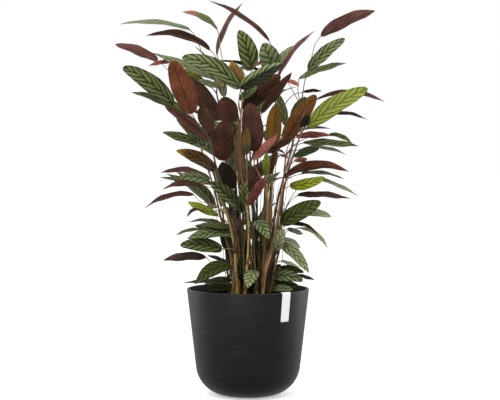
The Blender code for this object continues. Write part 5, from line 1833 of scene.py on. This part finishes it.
class CALATHEA_OT_stage(bpy.types.Operator):
    """Sets up the pale floor, the soft lights and the camera"""

    bl_idname = "calathea.stage"
    bl_label = "Studio"

    def execute(self, context):
        settings = context.scene.calathea_stage
        scene = context.scene
        bm = bmesh.new()
        bmesh.ops.create_grid(bm, x_segments=1, y_segments=1, size=FLOOR_SIZE)
        bmesh.ops.translate(bm, vec=(0, 0, -FLOOR_DROP), verts=bm.verts)
        mesh = bpy.data.meshes.new("floor")
        bm.to_mesh(mesh)
        bm.free()
        # White acrylic sheet, lit from below as on a product table: an even white with a soft shadow
        acrylic, _, _ = surface(
            "Lit acrylic floor", Base_Color=tuple(settings.floor_colour), Roughness=0.9,
            Emission_Color=(1, 1, 1, 1), Emission_Strength=settings.floor_glow)
        mesh.materials.append(acrylic)
        floor = bpy.data.objects.new("floor", mesh)
        floor.visible_diffuse = False
        floor.visible_glossy = False
        scene.collection.objects.link(floor)
        world = bpy.data.worlds.new("white studio")
        scene.world = world
        world.use_nodes = True
        tree = world.node_tree
        # The paper behind and beside the plant is bright, and the room in front of it and below is dim
        way = add(tree, "TexCoord", out="Generated")
        across, back, up = (add(tree, "SeparateXYZ", [way], axis) for axis in "XYZ")
        across = add(tree, "Math", [across], operation="ABSOLUTE")
        back = add(tree, "Math", [back, 0.0], operation="MAXIMUM")
        up = add(tree, "Math", [up, 0.0], operation="MAXIMUM")
        level = settings.sky_front
        for side, bright in ((across, settings.sky_side), (back, settings.sky_back), (up, settings.sky_top)):
            level = add(tree, "Math", [side, bright, level], operation="MULTIPLY_ADD")
        # The camera sees plain white
        seen = add(tree, "LightPath", out="Is Camera Ray")
        level = add(tree, "Mix", {0: seen, 2: level, 3: 1.0}, data_type="FLOAT")
        tree.links.new(level, tree.nodes["Background"].inputs["Strength"])
        tree.nodes["Background"].inputs["Color"].default_value = (1.0, 1.0, 1.0, 1.0)
        lamps = (
            ("left soft box", (-1.9, 0.9, 1.0), (0.6, 1.8), 0.75 * settings.side_power),
            ("right soft box", (1.9, 0.9, 1.0), (0.6, 1.8), settings.side_power),
            ("front soft box", (-0.6, -2.4, 1.9), (1.4, 1.4), settings.front_power),
        )
        for name, place, size, power in lamps:
            light = bpy.data.lights.new(name, "AREA")
            light.shape = "RECTANGLE"
            light.size, light.size_y = size
            light.energy = power
            lamp = bpy.data.objects.new(name, light)
            lamp.location = place
            lamp.rotation_euler = (LIT_SPOT - Vector(place)).to_track_quat("-Z", "Y").to_euler()
            scene.collection.objects.link(lamp)
        camera = bpy.data.objects.new("camera", bpy.data.cameras.new("camera"))
        camera.data.sensor_width = SENSOR_WIDTH
        camera.data.lens = VIEW_FOCAL * SENSOR_WIDTH / VIEW_WIDTH
        camera.location = VIEW
        camera.rotation_euler = (math.pi / 2 - VIEW_DOWN, 0.0, 0.0)
        scene.collection.objects.link(camera)
        scene.camera = camera
        scene.view_settings.view_transform = "Standard"
        return {"FINISHED"}


class CALATHEA_PT_panel(bpy.types.Panel):
    """Lists the pieces and their sizes and colours"""

    bl_idname = "CALATHEA_PT_panel"
    bl_label = "Potted calathea"
    bl_space_type = "VIEW_3D"
    bl_region_type = "UI"
    bl_category = "Calathea"

    def draw(self, context):
        for operator, group in OPERATORS:
            box = self.layout.box()
            box.operator(operator)
            settings = getattr(context.scene, group)
            for name in settings.__annotations__:
                box.prop(settings, name)


OPERATORS = (
    ("calathea.stems", "calathea_leaves"),
    ("calathea.pot", "calathea_pot"),
    ("calathea.soil", "calathea_soil"),
    ("calathea.tag", "calathea_tag"),
    ("calathea.stage", "calathea_stage"),
)
GROUPS = {
    "calathea_leaves": LeafSettings,
    "calathea_pot": PotSettings,
    "calathea_soil": SoilSettings,
    "calathea_tag": TagSettings,
    "calathea_stage": StageSettings,
}
CLASSES = (
    *GROUPS.values(),
    CALATHEA_OT_stems,
    CALATHEA_OT_pot,
    CALATHEA_OT_soil,
    CALATHEA_OT_tag,
    CALATHEA_OT_stage,
    CALATHEA_PT_panel,
)


def register():
    for cls in CLASSES:
        bpy.utils.register_class(cls)
    for name, group in GROUPS.items():
        setattr(bpy.types.Scene, name, PointerProperty(type=group))


def unregister():
    for name in GROUPS:
        delattr(bpy.types.Scene, name)
    for cls in reversed(CLASSES):
        bpy.utils.unregister_class(cls)


def main():
    """Builds the whole object and its studio."""
    register()
    bpy.ops.calathea.stems()
    bpy.ops.calathea.pot()
    bpy.ops.calathea.soil()
    bpy.ops.calathea.tag()
    bpy.ops.calathea.stage()


if __name__ == "__main__":
    main()
